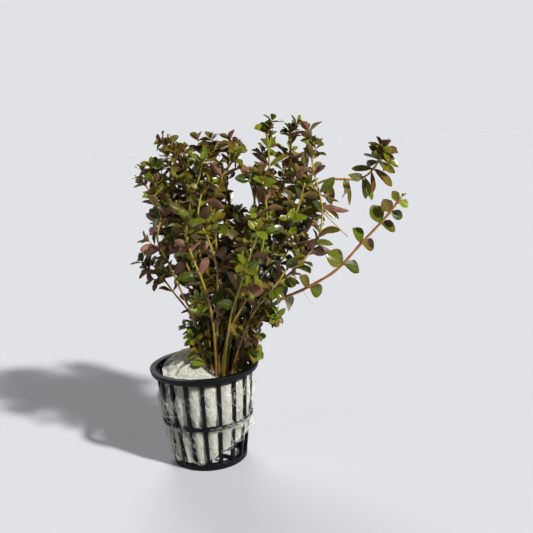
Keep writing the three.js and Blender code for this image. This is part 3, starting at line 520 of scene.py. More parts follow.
# where a leaf is tested: shares of its length and of its half width
sampleT, sampleAcross = [grid.ravel() for grid in np.meshgrid(
    [0.2, 0.35, 0.5, 0.65, 0.8, 0.92, 1], [-1, -0.5, 0, 0.5, 1], indexing="ij")]


# Every leaf that has been placed, kept as whole arrays so that a new one is tested against all at once
class Foliage:
    def __init__(self, lines):
        self.fields, self.count = {}, 0
        self.samples = np.zeros((leafing["most"], len(sampleT), 3))
        steps = [int(np.ceil(line.length / 1.2)) for line in lines]
        stems = [line.at(line.length * np.arange(n + 1) / n) for line, n in zip(lines, steps)]
        self.stems = np.vstack(stems)
        self.owner = np.concatenate([np.full(n + 1, k) for k, n in enumerate(steps)])

    def place(self, leaf, **facts):
        for key, value in {**leaf, **facts}.items():
            value = np.asarray(value, float)
            room = (leafing["most"],) + value.shape
            self.fields.setdefault(key, np.zeros(room))[self.count] = value
        self.samples[self.count] = bladePoints(leaf, sampleT, sampleAcross)
        self.count += 1

    def placed(self, keys):
        return {key: self.fields[key][:self.count] for key in keys}

    # whether a leaf keeps clear of the gap, the wool, the pot, the stems and the leaves placed before it
    def isClear(self, leaf, shoot):
        mine = bladePoints(leaf, sampleT, sampleAcross)
        if inGap(mine).any():
            return False
        radius = np.hypot(mine[:, 0], mine[:, 1])
        floor = np.where(radius > pot["rimInner"] - 2, pot["height"], woolTop(mine[:, 0], mine[:, 1]))
        room = leafing["floorGap"]
        if np.any((radius <= pot["rimRadius"] + room) & (mine[:, 2] < floor + room)):
            return False
        one = {key: value[None] for key, value in leaf.items()}
        base, length, gap = leaf["base"], leaf["length"], leafing["gap"]
        middle = base + leaf["axis"] * length * 0.5 - leaf["normal"] * leafing["sag"] * length * 0.25
        near = np.linalg.norm(self.stems - middle, axis=1) < length * 0.5 + 2
        own = self.owner == shoot
        apart = np.linalg.norm(self.stems - base, axis=1) >= length * 0.4
        stemGap = gap + leafing["footRadius"] * 0.6
        for mask, room in ((near & ~own, stemGap), (near & own & apart, leafing["ownGap"])):
            if mask.any() and touchesBlade(one, self.stems[mask], room).any():
                return False
        if not self.count:
            return True
        others = self.placed(bladeKeys)
        close = np.linalg.norm(others["base"] - base, axis=1) <= others["length"] + length + 2
        if not close.any():
            return True
        if touchesBlade(one, self.samples[:self.count][close].reshape(-1, 3), gap).any():
            return False
        return not touchesBlade(picked(others, close), mine, gap).any()


# distances of a shoot's pairs from its foot, the youngest first: each gap is g (1 - c e^(-r n))
# nodes, where given, are the distances from the tip of the first ones
def pairDistances(line, shoot, pairs):
    crowding, rate = leafing["crowding"]
    gaps = shoot["gap"] * (1 - crowding * np.exp(-rate * np.arange(pairs)))
    given = np.array(shoot.get("nodes", []))[:pairs]
    gaps[:len(given)] = np.diff(given, prepend=0)
    return line.length - np.cumsum(gaps)


# Puts pairs of leaves on every shoot, those of the solids or the finer ones below them; a leaf that would
# meet something is turned, lifted or made shorter, and left out where there is no room
def growPairs(foliage, lines, finer, number=0):
    for k, (line, shoot) in enumerate(zip(lines, shoots.values())):
        first = shoot["pairs"] if finer else 0
        last = shoot["pairs"] + (shoot.get("more", leafing["morePairs"]) if finer else 0)
        distances = pairDistances(line, shoot, last)
        for pair in range(first, last):
            if finer and (distances[pair] < 3 or line.at(distances[pair])[2] < leafing["lowest"]):
                break
            for half in range(2):
                number += 1
                varied = [most * spread(number, kind) for kind, most in enumerate(leafing["varied"])]
                young = 1 - leafing["young"] * np.exp(-pair * 0.9)
                length = shoot["leaf"] * young * (1 + varied[0])
                width = length * shoot["width"] * (1 + varied[1])
                azimuth = shoot["spin"] + shoot["turn"] * pair + 180 * half + varied[2]
                lift = shoot.get("open", leafing["open"]) - leafing["closed"] * np.exp(-pair * 0.5)
                lift = lift + varied[3]
                backward = "face" not in shoot and spread(number, 5) > leafing["backward"]
                tries = [(size, *way) for size in sizesTried[:3 if finer else 2] for way in turnsTried]
                for size, turn, up in tries:
                    leaf = leafOn(line, shoot, distances[pair], np.radians(azimuth + turn),
                                  np.radians(max(leafing["leastLift"], lift + up)), np.radians(varied[4]),
                                  backward, length * size, width * size)
                    if foliage.isClear(leaf, k):
                        foliage.place(leaf, shoot=k, pair=pair, seed=number)
                        break
    return number


# The net pot: closed rings and bars with rounded edges, and its black moulded plastic
pot = {
    "height": 47.5,
    "rimRadius": 26.0, "rimInner": 22.8, "rimHeight": 2.7, "rimFlare": 0.25,
    "lip": (1.1, 0.95),  # width and height of the raised edge of the rim
    "band": (0.7, 1.0, 0.6),  # how far the band below the rim goes inwards, down and up
    "ribCount": 18, "ribWidth": 1.7, "ribDepth": 1.6,
    "ribHeights": (0.9, 2, 3.4, 5, 9, 14, 18, 20.6, 21.2, 21.7, 22.2, 22.7, 23.2, 23.8, 27, 32, 37, 41, 43.6,
                   44.8, 46),
    # where ribs widen: height, reach up and down, and share of the width
    "ribFlares": ((3.4, 1.6, 0.16), (22.2, 1.3, 0.12), (44.4, 1.4, 0.2)),
    "hoopHeight": 22.2, "hoopBand": 2.1, "hoopRadius": 21.8, "hoopInner": 20.2, "hoopProud": 0.3,
    "stepRadius": 20.5, "wallTop": 23.2,  # the wall's radius below the hoop and at the rim
    "baseBand": 3.4, "baseRadius": 17.6, "baseInner": 15.2, "baseThickness": 1.8,
    "spokeCount": 6, "spokeWidth": 2.2, "spokeHeight": 1.3, "spokeStart": 2.5,
    # the base's disc with its moulding mark, as (radius, height) from below to above
    "disc": ((3, 0), (4.9, 0.04), (5.16, 0.25), (5.2, 0.9), (5.1, 1.6), (4.8, 1.8), (1.3, 1.8), (1.1, 2.1),
             (0.5, 2.2)),
    "squareness": 5.0,  # 2 is a round section, more is squarer
    "ringSides": 144, "discSides": 72,
    "colour": (0.0022, 0.0024, 0.0034), "dust": (0.05, 0.056, 0.068),
    "roughness": 0.42,
}


# outer radius of the wall at a height: straight tapers joined by a step at the hoop
def wallRadius(z):
    half = pot["hoopBand"] / 2
    heights = [0, pot["hoopHeight"] - half, pot["hoopHeight"] + half, pot["height"] - pot["rimHeight"]]
    radii = [pot["baseRadius"], pot["stepRadius"], pot["hoopRadius"] - pot["hoopProud"], pot["wallTop"]]
    return np.interp(z, heights, radii)


# directions round the upright axis at angles: outward and sideways
def spokes(angle):
    out = polar(1, angle, 0)
    return out, np.cross(upward, out)


# a hoop: a soft square section between two radii and two heights, carried round the axis; it leans out by
# the taper
def hoopRing(skin, inner, outer, low, high, taper):
    out, _ = spokes(turns(pot["ringSides"]))
    path = out * (inner + outer) / 2 + upward * (low + high) / 2
    lean = upward * (high - low) / 2 + out * taper
    section = softSquare(20, pot["squareness"])
    carried(skin, path[None], lean[None], (out * (outer - inner) / 2)[None], section, closed=True)


# ribs: a soft square carried up the wall, a little wider at the foot and where it meets the bands
def potRibs(skin):
    heights = np.array(pot["ribHeights"])
    out, side = spokes(turns(pot["ribCount"]) - np.pi / 2)
    flare = np.ones(len(heights))
    for at, reach, share in pot["ribFlares"]:
        flare = flare + share * np.exp(-((heights - at) / reach) ** 2)
    centre = wallRadius(heights) - pot["ribDepth"] / 2
    path = out[:, None] * centre[None, :, None] + upward * heights[None, :, None]
    wide = side[:, None] * (pot["ribWidth"] / 2 * flare)[None, :, None]
    carried(skin, path, out[:, None] * pot["ribDepth"] / 2, wide, softSquare(20, pot["squareness"]))


# base: spokes, and a disc turned from its profile
def potBase(skin):
    out, side = spokes(turns(pot["spokeCount"], 0.5))
    reach = np.linspace(pot["spokeStart"], pot["baseInner"] + 1, 8)
    path = out[:, None] * reach[None, :, None] + upward * pot["baseThickness"] / 2
    rise = upward * pot["spokeHeight"] / 2
    carried(skin, path, side[:, None] * pot["spokeWidth"] / 2, rise, softSquare(16, pot["squareness"]))
    disc = np.array(pot["disc"])
    grid = polar(disc[:, :1], turns(pot["discSides"]), disc[:, 1:])
    poles = disc[[0, -1], 1:] * upward
    shell(skin, grid[None], poles[None], disc.sum(1)[None])


def buildPot(material):
    skin = Skin()
    top = pot["height"]
    rimFoot = top - pot["rimHeight"]
    flare, half = pot["rimFlare"], pot["hoopBand"] / 2
    lipWidth, lipHeight = pot["lip"]
    inwards, down, up = pot["band"]
    for inner, outer, low, high, taper in (
            (pot["rimInner"] - flare, pot["rimRadius"] - flare, rimFoot, top, flare),
            (pot["rimRadius"] - lipWidth, pot["rimRadius"], top - lipHeight, top, 0),
            (pot["rimInner"] - inwards, pot["wallTop"] + 0.1, rimFoot - down, rimFoot + up, 0.05),
            (pot["hoopInner"], pot["hoopRadius"], pot["hoopHeight"] - half, pot["hoopHeight"] + half, 0.1),
            (pot["baseInner"], pot["baseRadius"] + 0.2, 0, pot["baseBand"], 0.2)):
        hoopRing(skin, inner, outer, low, high, taper)
    potRibs(skin)
    potBase(skin)
    piece = skin.build("pot", [material])
    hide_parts("net_pot")
    print("pot built")


def potPlastic():
    paint = Paint("potPlastic", Specular_IOR_Level=0.14)
    place = paint.place()
    mottle = paint.noise(place, 260.0, 4.0, 0.6)
    grain = paint.noise(place, 2600.0, 3.0, 0.6)
    scratches = paint.noise(paint.place((1, 1, 0.06)), 2400.0, 2.0, 0.5).ramp(0.62, 0.74)
    specks = paint.noise(place, 1500.0, 1.0, 0.4).ramp(0.71, 0.78)
    film = paint.noise(place, 75.0, 5.0, 0.65).ramp(0.52, 0.8)
    colour = paint.mix(film * 0.05 + mottle * 0.02, pot["colour"], pot["dust"])
    colour = paint.mix(specks * 0.5 + scratches * 0.08, colour, pot["dust"])
    roughness = mottle * 0.16 + film * 0.18 + scratches * 0.12 + (pot["roughness"] - 0.08)
    return paint.finish(colour, roughness, grain * 0.5 + mottle * 0.5 - scratches * 0.3, 0.00006)


# The mineral wool: one felted body and the loose fibres on it
wool = {
    "level": 42.6,
    "mound": (-7, 5), "moundHeight": 10.4, "moundSpread": 9.5,
    "floor": 3.8, "floorSlope": 0.58, "shoulder": 1.7,
    "gap": 0.35, "bulge": 1.45, "bayPower": 0.6,  # a lower power makes fuller bays
    "widening": (23, 33),  # heights over which the side comes out above the hoop
    "hollow": 5.0, "hollowing": (34, 44),  # how far it is drawn in at the left, and over which heights
    # heights, sizes and seeds of the lumps on its top and the streaks on its side
    "lumps": ((0.4, 3.6, 1), (0.14, 1.4, 2), (0.07, 0.6, 3)),
    "streaks": ((0.08, 1.1, 4), (0.08, 0.45, 5), (0.14, 4.5, 6)),
    "pocket": (7.7, 2.0), "pocketSize": (9.0, 10.5), "pocketDepth": 4.6,
    "lean": 0.55,  # how steeply the felted streaks run down to the right
    "radius": 20, "topRadius": 19.5,  # used to turn angles into lengths, and where the top ends
    "columns": 260, "floorRows": 10, "sideRows": 84, "topRows": 44,
    "fibreRadius": 0.052, "fibrePoints": 6,
    # fibres on the side, loose ones between the ribs, and tufts over the hoop: how many, how far they
    # stand off, between which heights, how wide they spread at each place, how steep and how long
    "felt": {"count": 3650, "lift": (0.05, 0.5), "heights": (4, 42)},
    "fuzz": {"count": 700, "lift": (0.2, 1.0), "heights": (7, 40), "width": 0.22, "slope": 1.0,
             "length": (5, 13)},
    "tufts": {"count": 280, "lift": (0.1, 0.5), "heights": (21, 29), "width": 0.17, "slope": 1.25,
              "length": (6, 13)},
    # combed fibres on the top: how many, how long, how far they stand off, and radians that they stray
    "combed": {"count": 1750, "length": (3, 11), "lift": (0.1, 0.9), "stray": 0.9},
    "fuzzBulge": (0.6, 2.9), "tuftReach": 2.6,  # how far fuzz bulges out, and tufts reach up and down
    # angles where fuzz has worked out between the ribs and over the hoop, and the share of it at each
    "fuzzAt": ((np.pi, 0.34), (np.pi * 1.12, 0.2), (-0.15, 0.22), (np.pi * 1.35, 0.12),
               (-np.pi * 0.3, 0.12)),
    "tuftsAt": ((-0.75, 0.26), (-1.0, 0.2), (-2.35, 0.16), (3.05, 0.14), (-0.35, 0.12), (0.1, 0.12)),
    "cream": (0.80, 0.795, 0.69), "shade": (0.30, 0.295, 0.23), "tan": (0.62, 0.54, 0.37),
    "fibre": (0.85, 0.85, 0.78), "oldFibre": (0.42, 0.37, 0.26),
}


# top of the wool: level + h exp(-d^2 / 2 s^2)
def woolTop(x, y):
    away = (x - wool["mound"][0]) ** 2 + (y - wool["mound"][1]) ** 2
    return wool["level"] + wool["moundHeight"] * np.exp(-away / (2 * wool["moundSpread"] ** 2))


# the same with a dip where the stems stand, and lumps
def woolCrown(x, y):
    u = (x - wool["pocket"][0]) / wool["pocketSize"][0]
    v = (y - wool["pocket"][1]) / wool["pocketSize"][1]
    dip = wool["pocketDepth"] * np.exp(-((u * u + v * v) ** 1.5))
    p = np.stack([x, y, np.zeros_like(x)], -1)
    lumps = sum(height * bumps(p / size, seed) for height, size, seed in wool["lumps"])
    return woolTop(x, y) - dip + lumps


# side of the wool: against the ribs, bulging between them, drawn in at the upper left, with slanting streaks
def woolSide(angle, z):
    angle, z = np.broadcast_arrays(angle, z)
    bay = ((1 - np.cos(pot["ribCount"] * (angle + np.pi / 2))) / 2) ** wool["bayPower"]
    left = np.maximum(0, -np.cos(angle)) ** 2
    lower = wallRadius(pot["hoopHeight"] - pot["hoopBand"])
    upper = lower + (pot["wallTop"] - lower) * eased(z, *wool["widening"])
    inside = np.minimum(wallRadius(z), upper)
    radius = inside - pot["ribDepth"] - wool["gap"] + wool["bulge"] * bay
    radius = radius - wool["hollow"] * left * eased(z, *wool["hollowing"])
    streak = polar(wool["radius"], angle + z * wool["lean"] / wool["radius"], z * 0.16)
    for height, size, seed in wool["streaks"]:
        radius = radius + height * bumps(streak / size, seed)
    return radius - 0.1


def woolBottom(x):
    return wool["floor"] + wool["floorSlope"] * np.maximum(0, x + 1)


# the wool's body: rings of its underside, side and top, from the middle below to the middle above
def buildWool(material):
    angle = turns(wool["columns"])
    cos, sin = np.cos(angle), np.sin(angle)
    level = np.linspace(0, 1, wool["sideRows"])[:, None]
    low = woolBottom(woolSide(angle, wool["floor"] + level * 0) * cos)
    z = low + (wool["level"] - low) * level
    edge = wool["topRadius"]
    z = z + (woolCrown(cos * edge, sin * edge) - wool["level"]) * eased(level, 0.85, 1)
    radius = woolSide(angle, z)
    for away in (z[-1] - z, z - z[0]):  # rounded along its upper and lower edge
        near = np.clip(1 - away / wool["shoulder"], 0, 1)
        radius = radius - wool["shoulder"] * (1 - np.sqrt(1 - near**2)) * 0.8
    shares = np.linspace(0.02, 1, wool["floorRows"] + 1)[:-1, None]
    reach = radius[0] * shares
    bottom = woolBottom(reach * cos) + 0.3 * bumps(polar(reach / 2, angle, 0), 7)
    base = polar(reach, angle, bottom + (z[0] - woolBottom(radius[0] * cos)) * shares**2)
    shares = np.linspace(1, 0.01, wool["topRows"] + 1)[1:, None]
    reach = radius[-1] * shares
    join = z[-1] - woolCrown(radius[-1] * cos, radius[-1] * sin)
    crown = polar(reach, angle, woolCrown(reach * cos, reach * sin) + join * eased(shares, 0.75, 1))
    grid = np.concatenate([base, polar(radius, angle, z), crown])
    poles = np.array([[grid[0].mean(0), grid[-1].mean(0)]])
    skin = Skin()
    shell(skin, grid[None], poles, np.arange(len(grid))[None] / 10.0)
    piece = skin.build("wool", [material])
    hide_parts("mineral_wool")
    print("wool built")


# fibres felted on the side: slanting lines that run on its surface, with the height of each one's hump.
# lift, heights and length are ranges; centre and width say where round the wool, or else all round it
def sideFibres(random, count, lift, heights, centre=None, width=None, slope=1.15, length=(5, 17)):
    start = random.uniform(0, 2 * np.pi, count) if centre is None else random.normal(centre, width, count)
    steps = np.linspace(0, 1, wool["fibrePoints"])
    z = random.uniform(*heights, count)
    size = random.uniform(*length, count)[:, None]
    tilt = -random.normal(slope, 0.33, count) * random.choice([1, 1, 1, -1], count)
    turn = tilt[:, None] + random.normal(0, 0.5, count)[:, None] * steps
    z = z[:, None] + size * steps * np.sin(turn)
    angle = start[:, None] + size * steps * np.cos(turn) / wool["radius"]
    z = np.clip(z, woolBottom(np.cos(angle) * 19) + 0.5, wool["level"] - 0.2)
    return angle, z, random.uniform(*lift, count)[:, None] * np.sin(np.pi * steps) ** 0.8


# fibres on the top, combed away from the mound's peak
def topFibres(random, count, length, lift, stray):
    steps = np.linspace(0, 1, wool["fibrePoints"])
    reach = wool["topRadius"] * np.sqrt(random.uniform(0.001, 1, count))
    around = random.uniform(0, 2 * np.pi, count)
    x, y = reach * np.cos(around), reach * np.sin(around)
    heading = np.arctan2(y - wool["mound"][1], x - wool["mound"][0]) + random.normal(0, stray, count)
    size = random.uniform(*length, count)[:, None] * steps
    heading = heading[:, None] + random.normal(0, stray, count)[:, None] * steps
    x, y = x[:, None] + size * np.cos(heading), y[:, None] + size * np.sin(heading)
    hold = np.minimum(1, (wool["topRadius"] + 0.1) / np.maximum(np.hypot(x, y), 1e-6))
    x, y = x * hold, y * hold
    hump = random.uniform(*lift, count)[:, None] * np.sin(np.pi * steps) ** 0.8
    return np.stack([x, y, woolCrown(x, y) + 0.05 + hump], -1)


# one angle for each fibre, drawn from (angle, share) rows
def placesFor(random, rows, count):
    angles, shares = zip(*rows)
    return random.choice(angles, count, p=shares)


# fibres as one piece: thin three-sided threads, some of them older and darker
def layFibres(name, paths, random, taper, thickness, material):
    skin = Skin()
    reference = unit(random.normal(0, 1, (len(paths), 1, 3)))
    tone = np.zeros(paths.shape[:2] + (1, 4))
    tone[..., 0] = random.uniform(0, 1, (len(paths), 1, 1))
    radii = wool["fibreRadius"] * (random.uniform(*thickness, (len(paths), 1)) if thickness else 1)
    threads(skin, paths, radii * np.array(taper), 3, reference, tone)
    piece = skin.build(name, [material])


def buildFibres(material):
    random = np.random.default_rng(11)
    angle, z, hump = sideFibres(random, **wool["felt"])
    felt = [polar(woolSide(angle, z) + 0.03 + hump, angle, z), topFibres(random, **wool["combed"])]
    layFibres("wool_felt", np.concatenate(felt), random, (0.5, 1, 1, 1, 1, 0.5), (0.7, 1.5), material)

    # loose fuzz that has worked out between the ribs at the left and the right, and tufts over the hoop
    count = wool["fuzz"]["count"]
    places = placesFor(random, wool["fuzzAt"], count)
    angle, z, hump = sideFibres(random, centre=places, **wool["fuzz"])
    steps = np.linspace(0, 1, wool["fibrePoints"])
    bulge = random.uniform(*wool["fuzzBulge"], count)[:, None] * np.sin(np.pi * steps) ** 0.7
    fuzz = [polar(woolSide(angle, z) + 0.1 + bulge, angle, z)]
    places = placesFor(random, wool["tuftsAt"], wool["tufts"]["count"])
    angle, z, hump = sideFibres(random, centre=places, **wool["tufts"])
    inner = woolSide(angle, z) + 0.2
    over = np.maximum(pot["hoopRadius"] + 0.08 + 0.5 * hump, inner)
    share = np.exp(-((z - pot["hoopHeight"]) / wool["tuftReach"]) ** 2)
    fuzz.append(polar(inner * (1 - share) + over * share, angle, z))
    fuzz = np.concatenate(fuzz)
    fuzz = fuzz + random.normal(0, 0.12, fuzz.shape)
    layFibres("wool_fuzz", fuzz, random, (0.5, 1, 1, 1, 0.9, 0.4), None, material)
    print("wool fibres laid")


def woolBody():
    paint = Paint("woolBody", Specular_IOR_Level=0.2, Subsurface_Weight=0.5, Subsurface_Scale=0.003,
                  Subsurface_Radius=(1.0, 0.97, 0.85))
    place = paint.place()
    x, y, z = paint.parts(place)
    slant = paint.add("CombineXYZ", None, {0: x + z * 0.5, 1: y - z * 0.15, 2: z * 0.16})
    streaks = paint.noise(slant, 1100.0, 5.0, 0.7)
    fine = paint.noise(slant, 3000.0, 4.0, 0.7)
    felt = paint.noise(place, 5200.0, 3.0, 0.6)
    stain = paint.noise(slant, 170.0, 3.0, 0.55).ramp(0.48, 0.72)
    hollow = streaks.ramp(0.6, 0.4)
    pores = paint.noise(place, 1500.0, 3.0, 0.6).ramp(0.47, 0.36)
    # the hollows, pores and fine grooves, the low places of the bump, are painted darker with the shade
    # colour: painted shade
    colour = paint.mix(hollow * 0.5, wool["cream"], wool["shade"])
    colour = paint.mix(stain * 0.55, colour, wool["tan"])
    colour = paint.mix(fine.ramp(0.62, 0.4) * 0.45, colour, wool["shade"])
    colour = paint.mix(pores * 0.4, colour, wool["shade"])
    roughness = felt * 0.15 + 0.75
    return paint.finish(colour, roughness, streaks * 0.6 + fine * 0.5 + felt * 0.25 - pores * 0.5, 0.0007)


def woolFibre():
    paint = Paint("woolFibre", Specular_IOR_Level=0.4)
    shade = paint.tone()[0]
    grain = paint.noise(paint.place(), 1800.0, 2.0, 0.5)
    colour = paint.mix(shade.ramp(0.4, 1.0) * 0.8, wool["fibre"], wool["oldFibre"])
    colour = paint.mix(grain * 0.3, colour, wool["cream"])
    return paint.finish(colour, grain * 0.3 + 0.4, grain, 0.00003)


# Leaves and stems
foliageLook = {
    "rows": (0.06, 0.18, 0.34, 0.52, 0.7, 0.84, 0.94, 0.985),  # stations along a leaf, as shares of it
    "fewRows": (0.1, 0.34, 0.62, 0.86, 0.97),  # the same for a leaflet
    "leaflet": 5.2,  # leaves shorter than this are leaflets
    "columns": (-1, -0.55, 0, 0.55, 1, 0.55, 0, -0.55),  # round a leaf: across its face, then back under it
    "outline": (1.28, 0.66),  # blunter than the solids' leaves: sin(pi t^a)^b
    "thickness": 0.26, "rib": 0.16, "petiole": 0.3, "fold": 0.16,
    "curl": 0.2, "ripple": 0.12, "ripples": 1.4, "twist": 18,
    "jitter": (0.6180339, 0.3247179, 0.7548776, 0.5698402),  # steps that tell leaves apart
    "deepGreen": (0.016, 0.030, 0.001), "leafGreen": (0.090, 0.112, 0.003), "lime": (0.225, 0.285, 0.009),
    "bronze": (0.155, 0.092, 0.007), "maroon": (0.085, 0.024, 0.012), "pink": (0.33, 0.135, 0.105),
    "mauve": (0.14, 0.05, 0.032), "shaded": (0.045, 0.024, 0.008), "paleUnder": (0.17, 0.14, 0.022),
    "veins": (0.16, 0.17, 0.025), "underVeins": (0.32, 0.2, 0.08), "flecks": (0.3, 0.32, 0.08),
    "golden": (0.38, 0.25, 0.034), "greenStem": (0.22, 0.24, 0.014), "orange": (0.38, 0.13, 0.028),
    "redStem": (0.20, 0.042, 0.018), "oldAndShadedStem": (0.10, 0.058, 0.012), "stemLines": (0.5, 0.4, 0.13),
}
# warmth, lightness, and how rosy the undersides are, for each kind of shoot
shootTones = {"green": (0.25, 0.42, 0.5), "olive": (0.5, 0.4, 0.5), "maroon": (0.7, 0.36, 0.62),
              "bright": (0.16, 0.56, 0.35)}


# Closed thin leaves: at each station the face rises by cup a^2 + fold |a|, sags by sag t^2, curls by c t^3
# and ripples at its edges; the underside lies the leaf's thickness below it, with a rib down the middle
def growLeafSkins(skin, leaf, rows, loose):
    look = foliageLook
    t = np.array(look[rows])[:, None]
    across = np.array(look["columns"])
    length, width = leaf["length"][:, None, None], leaf["width"][:, None, None]
    power, blunt = look["outline"]
    half = width / 2 * np.maximum(np.sin(np.pi * t**power), 0) ** blunt
    half = np.maximum(half, look["petiole"] * np.minimum(1, length / 7) * (t < 0.3))
    jitter = [2 * np.modf(leaf["seed"] * step)[0] - 1 for step in look["jitter"]]
    phase, ripple, twist = [value[:, None, None] for value in jitter[1:]]
    twist = np.radians(look["twist"]) * loose * twist * t
    cos, sin = np.cos(twist)[..., None], np.sin(twist)[..., None]
    cross, normal = leaf["cross"][:, None, None], leaf["normal"][:, None, None]
    cross, normal = cross * cos + normal * sin, normal * cos - cross * sin
    bend = look["curl"] * loose * (jitter[0] + 0.3) * leaf["length"] * 0.6
    wave = np.sin(2 * np.pi * (look["ripples"] * t + phase))
    rise = leafing["cup"] * half * across**2 + look["fold"] * half * np.abs(across)
    rise = rise - leafing["sag"] * length * t * t - bend[:, None, None] * t**3
    rise = rise + look["ripple"] * loose * half * ripple * across * wave * 1.4
    body = look["thickness"] * (1 - across**2) + look["rib"] * (across == 0) * (1 - 0.6 * t)
    under = np.arange(len(across)) > 4
    rise = rise - under * body * np.minimum(1, length / 6)
    grid = (leaf["base"][:, None, None] + leaf["axis"][:, None, None] * (length * t)[..., None]
            + cross * (half * across)[..., None] + normal * rise[..., None])
    end = leafing["sag"] * leaf["length"] + bend
    tip = leaf["base"] + leaf["axis"] * leaf["length"][:, None] - leaf["normal"] * end[:, None]
    tone = np.zeros((len(grid), len(t), len(across), 4))
    for place, key in ((0, "warm"), (1, "light"), (3, "rosy")):
        tone[..., place] = leaf[key][:, None, None]
    tone[:, :, 4:, 2] = 1  # the faces from the second edge on are the underside
    around = np.append(across, across[0])
    index = shell(skin, grid, np.stack([leaf["base"], tip], 1), t[:, 0], tone, 0, around)
    skin.edges.append(index[:, :, [0, 4]])


def leafSkin():
    look = foliageLook
    paint = Paint("leaf", Specular_IOR_Level=0.28, Coat_Roughness=0.08, Coat_IOR=1.36)
    along, across, _ = paint.parts(paint.uv())
    warm, light, under, rosy = paint.tone()
    place = paint.place()
    blotch = paint.noise(place, 330.0, 3.0, 0.55)
    patch = paint.noise(place, 120.0, 2.0, 0.5)
    cells = paint.noise(place, 2600.0, 2.0, 0.6)
    out = abs(across)
    rib = out.ramp(0.12, 0.02)
    vein = abs((along * 8.0 - out * 2.6).fract() - 0.5) * 2.0
    vein = vein.ramp(0.8, 1.0) * out.ramp(1.0, 0.6)
    # the leaf's lightness tone, which carries painted shade inside the bunch, with blotches; where it is low
    # the face goes to deep green
    shade = light + blotch * 0.5 - 0.25
    face = paint.mix(shade.ramp(-0.1, 0.6), look["deepGreen"], look["leafGreen"])
    face = paint.mix(shade.ramp(0.45, 1.05), face, look["lime"])
    tint = warm + patch * 0.7 - 0.35
    face = paint.mix((tint + along * 0.12).ramp(0.3, 0.8) * 0.85, face, look["bronze"])
    face = paint.mix((tint + out * 0.16).ramp(0.7, 1.05) * 0.9, face, look["maroon"])
    face = paint.mix(rib * 0.4 + vein * 0.16, face, look["veins"])
    back = paint.mix((rosy + blotch * 0.5 - 0.25).ramp(0.3, 0.75), look["paleUnder"], look["mauve"])
    back = paint.mix((rosy + patch * 0.6 - 0.3 + along * 0.16).ramp(0.6, 1.05), back, look["pink"])
    back = paint.mix(blotch.ramp(0.62, 0.36) * 0.5, back, look["mauve"])
    back = paint.mix(out.ramp(0.55, 1.0) * 0.4, back, look["paleUnder"])
    back = paint.mix(rib * 0.6 + vein * 0.4, back, look["underVeins"])
    back = paint.mix(shade.ramp(0.5, 0.0) * 0.6, back, look["shaded"])
    colour = paint.mix(under, face, back)
    colour = paint.mix(cells.ramp(0.55, 0.8) * 0.1, colour, look["flecks"])
    roughness = blotch * 0.16 + under * 0.16 + cells * 0.06 + 0.16
    height = vein * -0.5 + rib * (under * 2.0 - 1.0) * 0.6 + cells * 0.22 + blotch * 0.2
    return paint.finish(colour, roughness, height, 0.00016, (1.0 - under * 0.7) * 0.55)


def stemSkin():
    look = foliageLook
    paint = Paint("stem", Specular_IOR_Level=0.35, Coat_Roughness=0.2)
    reach, around, _ = paint.parts(paint.uv())
    warm, light, node, seed = paint.tone()
    place = paint.place()
    lines = paint.add("CombineXYZ", None, {0: reach * 0.05, 1: around * 9.0, 2: seed * 20.0})
    streak = paint.noise(lines, 1.3, 3.0, 0.6)
    mottle = paint.noise(place, 520.0, 3.0, 0.6)
    ridge = (around * 37.7).sine()  # six ridges round the stem
    colour = paint.mix((warm + mottle * 0.3 - 0.15).ramp(0.0, 0.45), look["greenStem"], look["golden"])
    colour = paint.mix((warm + streak * 0.3 - 0.15).ramp(0.45, 0.9), colour, look["orange"])
    # darker towards the foot: older stem colour together with painted shade
    colour = paint.mix(light.ramp(0.8, 0.1) * 0.8, colour, look["oldAndShadedStem"])
    colour = paint.mix(streak.ramp(0.55, 0.75) * 0.4, colour, look["stemLines"])
    colour = paint.mix(node * 0.7, colour, look["redStem"])
    roughness = mottle * 0.25 + 0.25
    return paint.finish(colour, roughness, ridge * 0.2 + streak * 0.5 + mottle * 0.3, 0.00012, light * 0.3)


# side twigs and their leaflets from the axils of chosen leaves: each twig leans out between leaf and stem
twig = {
    "least": 0.14,  # a leaf bears a twig where its spread is above this, so at 2 none does
    "length": (2.2, 7.2), "lean": (26, 48), "bow": 0.1, "rise": 0.12,  # how far, in shares of its length
    "leafLength": (5.0, 8.6), "leafShare": 0.6,  # a leaf's width as a share of its length
    "fan": 9, "vary": 0.12,  # how much its leaves differ: in degrees, and in share of their length
    "gap": 0.25,  # room kept between its leaves and the pairs
    "clear": (25, 3),  # within this radius, its leaves keep this far above the wool
    # its leaf pairs: place along it, degrees from it, size, and whether they stand crosswise
    "pairs": ((1.0, 34, 0.72, False), (0.92, 62, 0.92, True), (0.5, 66, 1.0, False)),
    "radius": 0.26, "taper": (1.2, 1, 0.95, 0.9, 0.7), "tone": (0.3, 0.8, 0, 0.5),
    "reference": (0.31, 0.9, 0.3),  # a direction that no twig has
}
stalk = {"radii": (0.34, 0.3, 0.28, 0.26, 0.2), "tone": (0.6, 0.7, 0, 0.5)}  # the bare side stalk


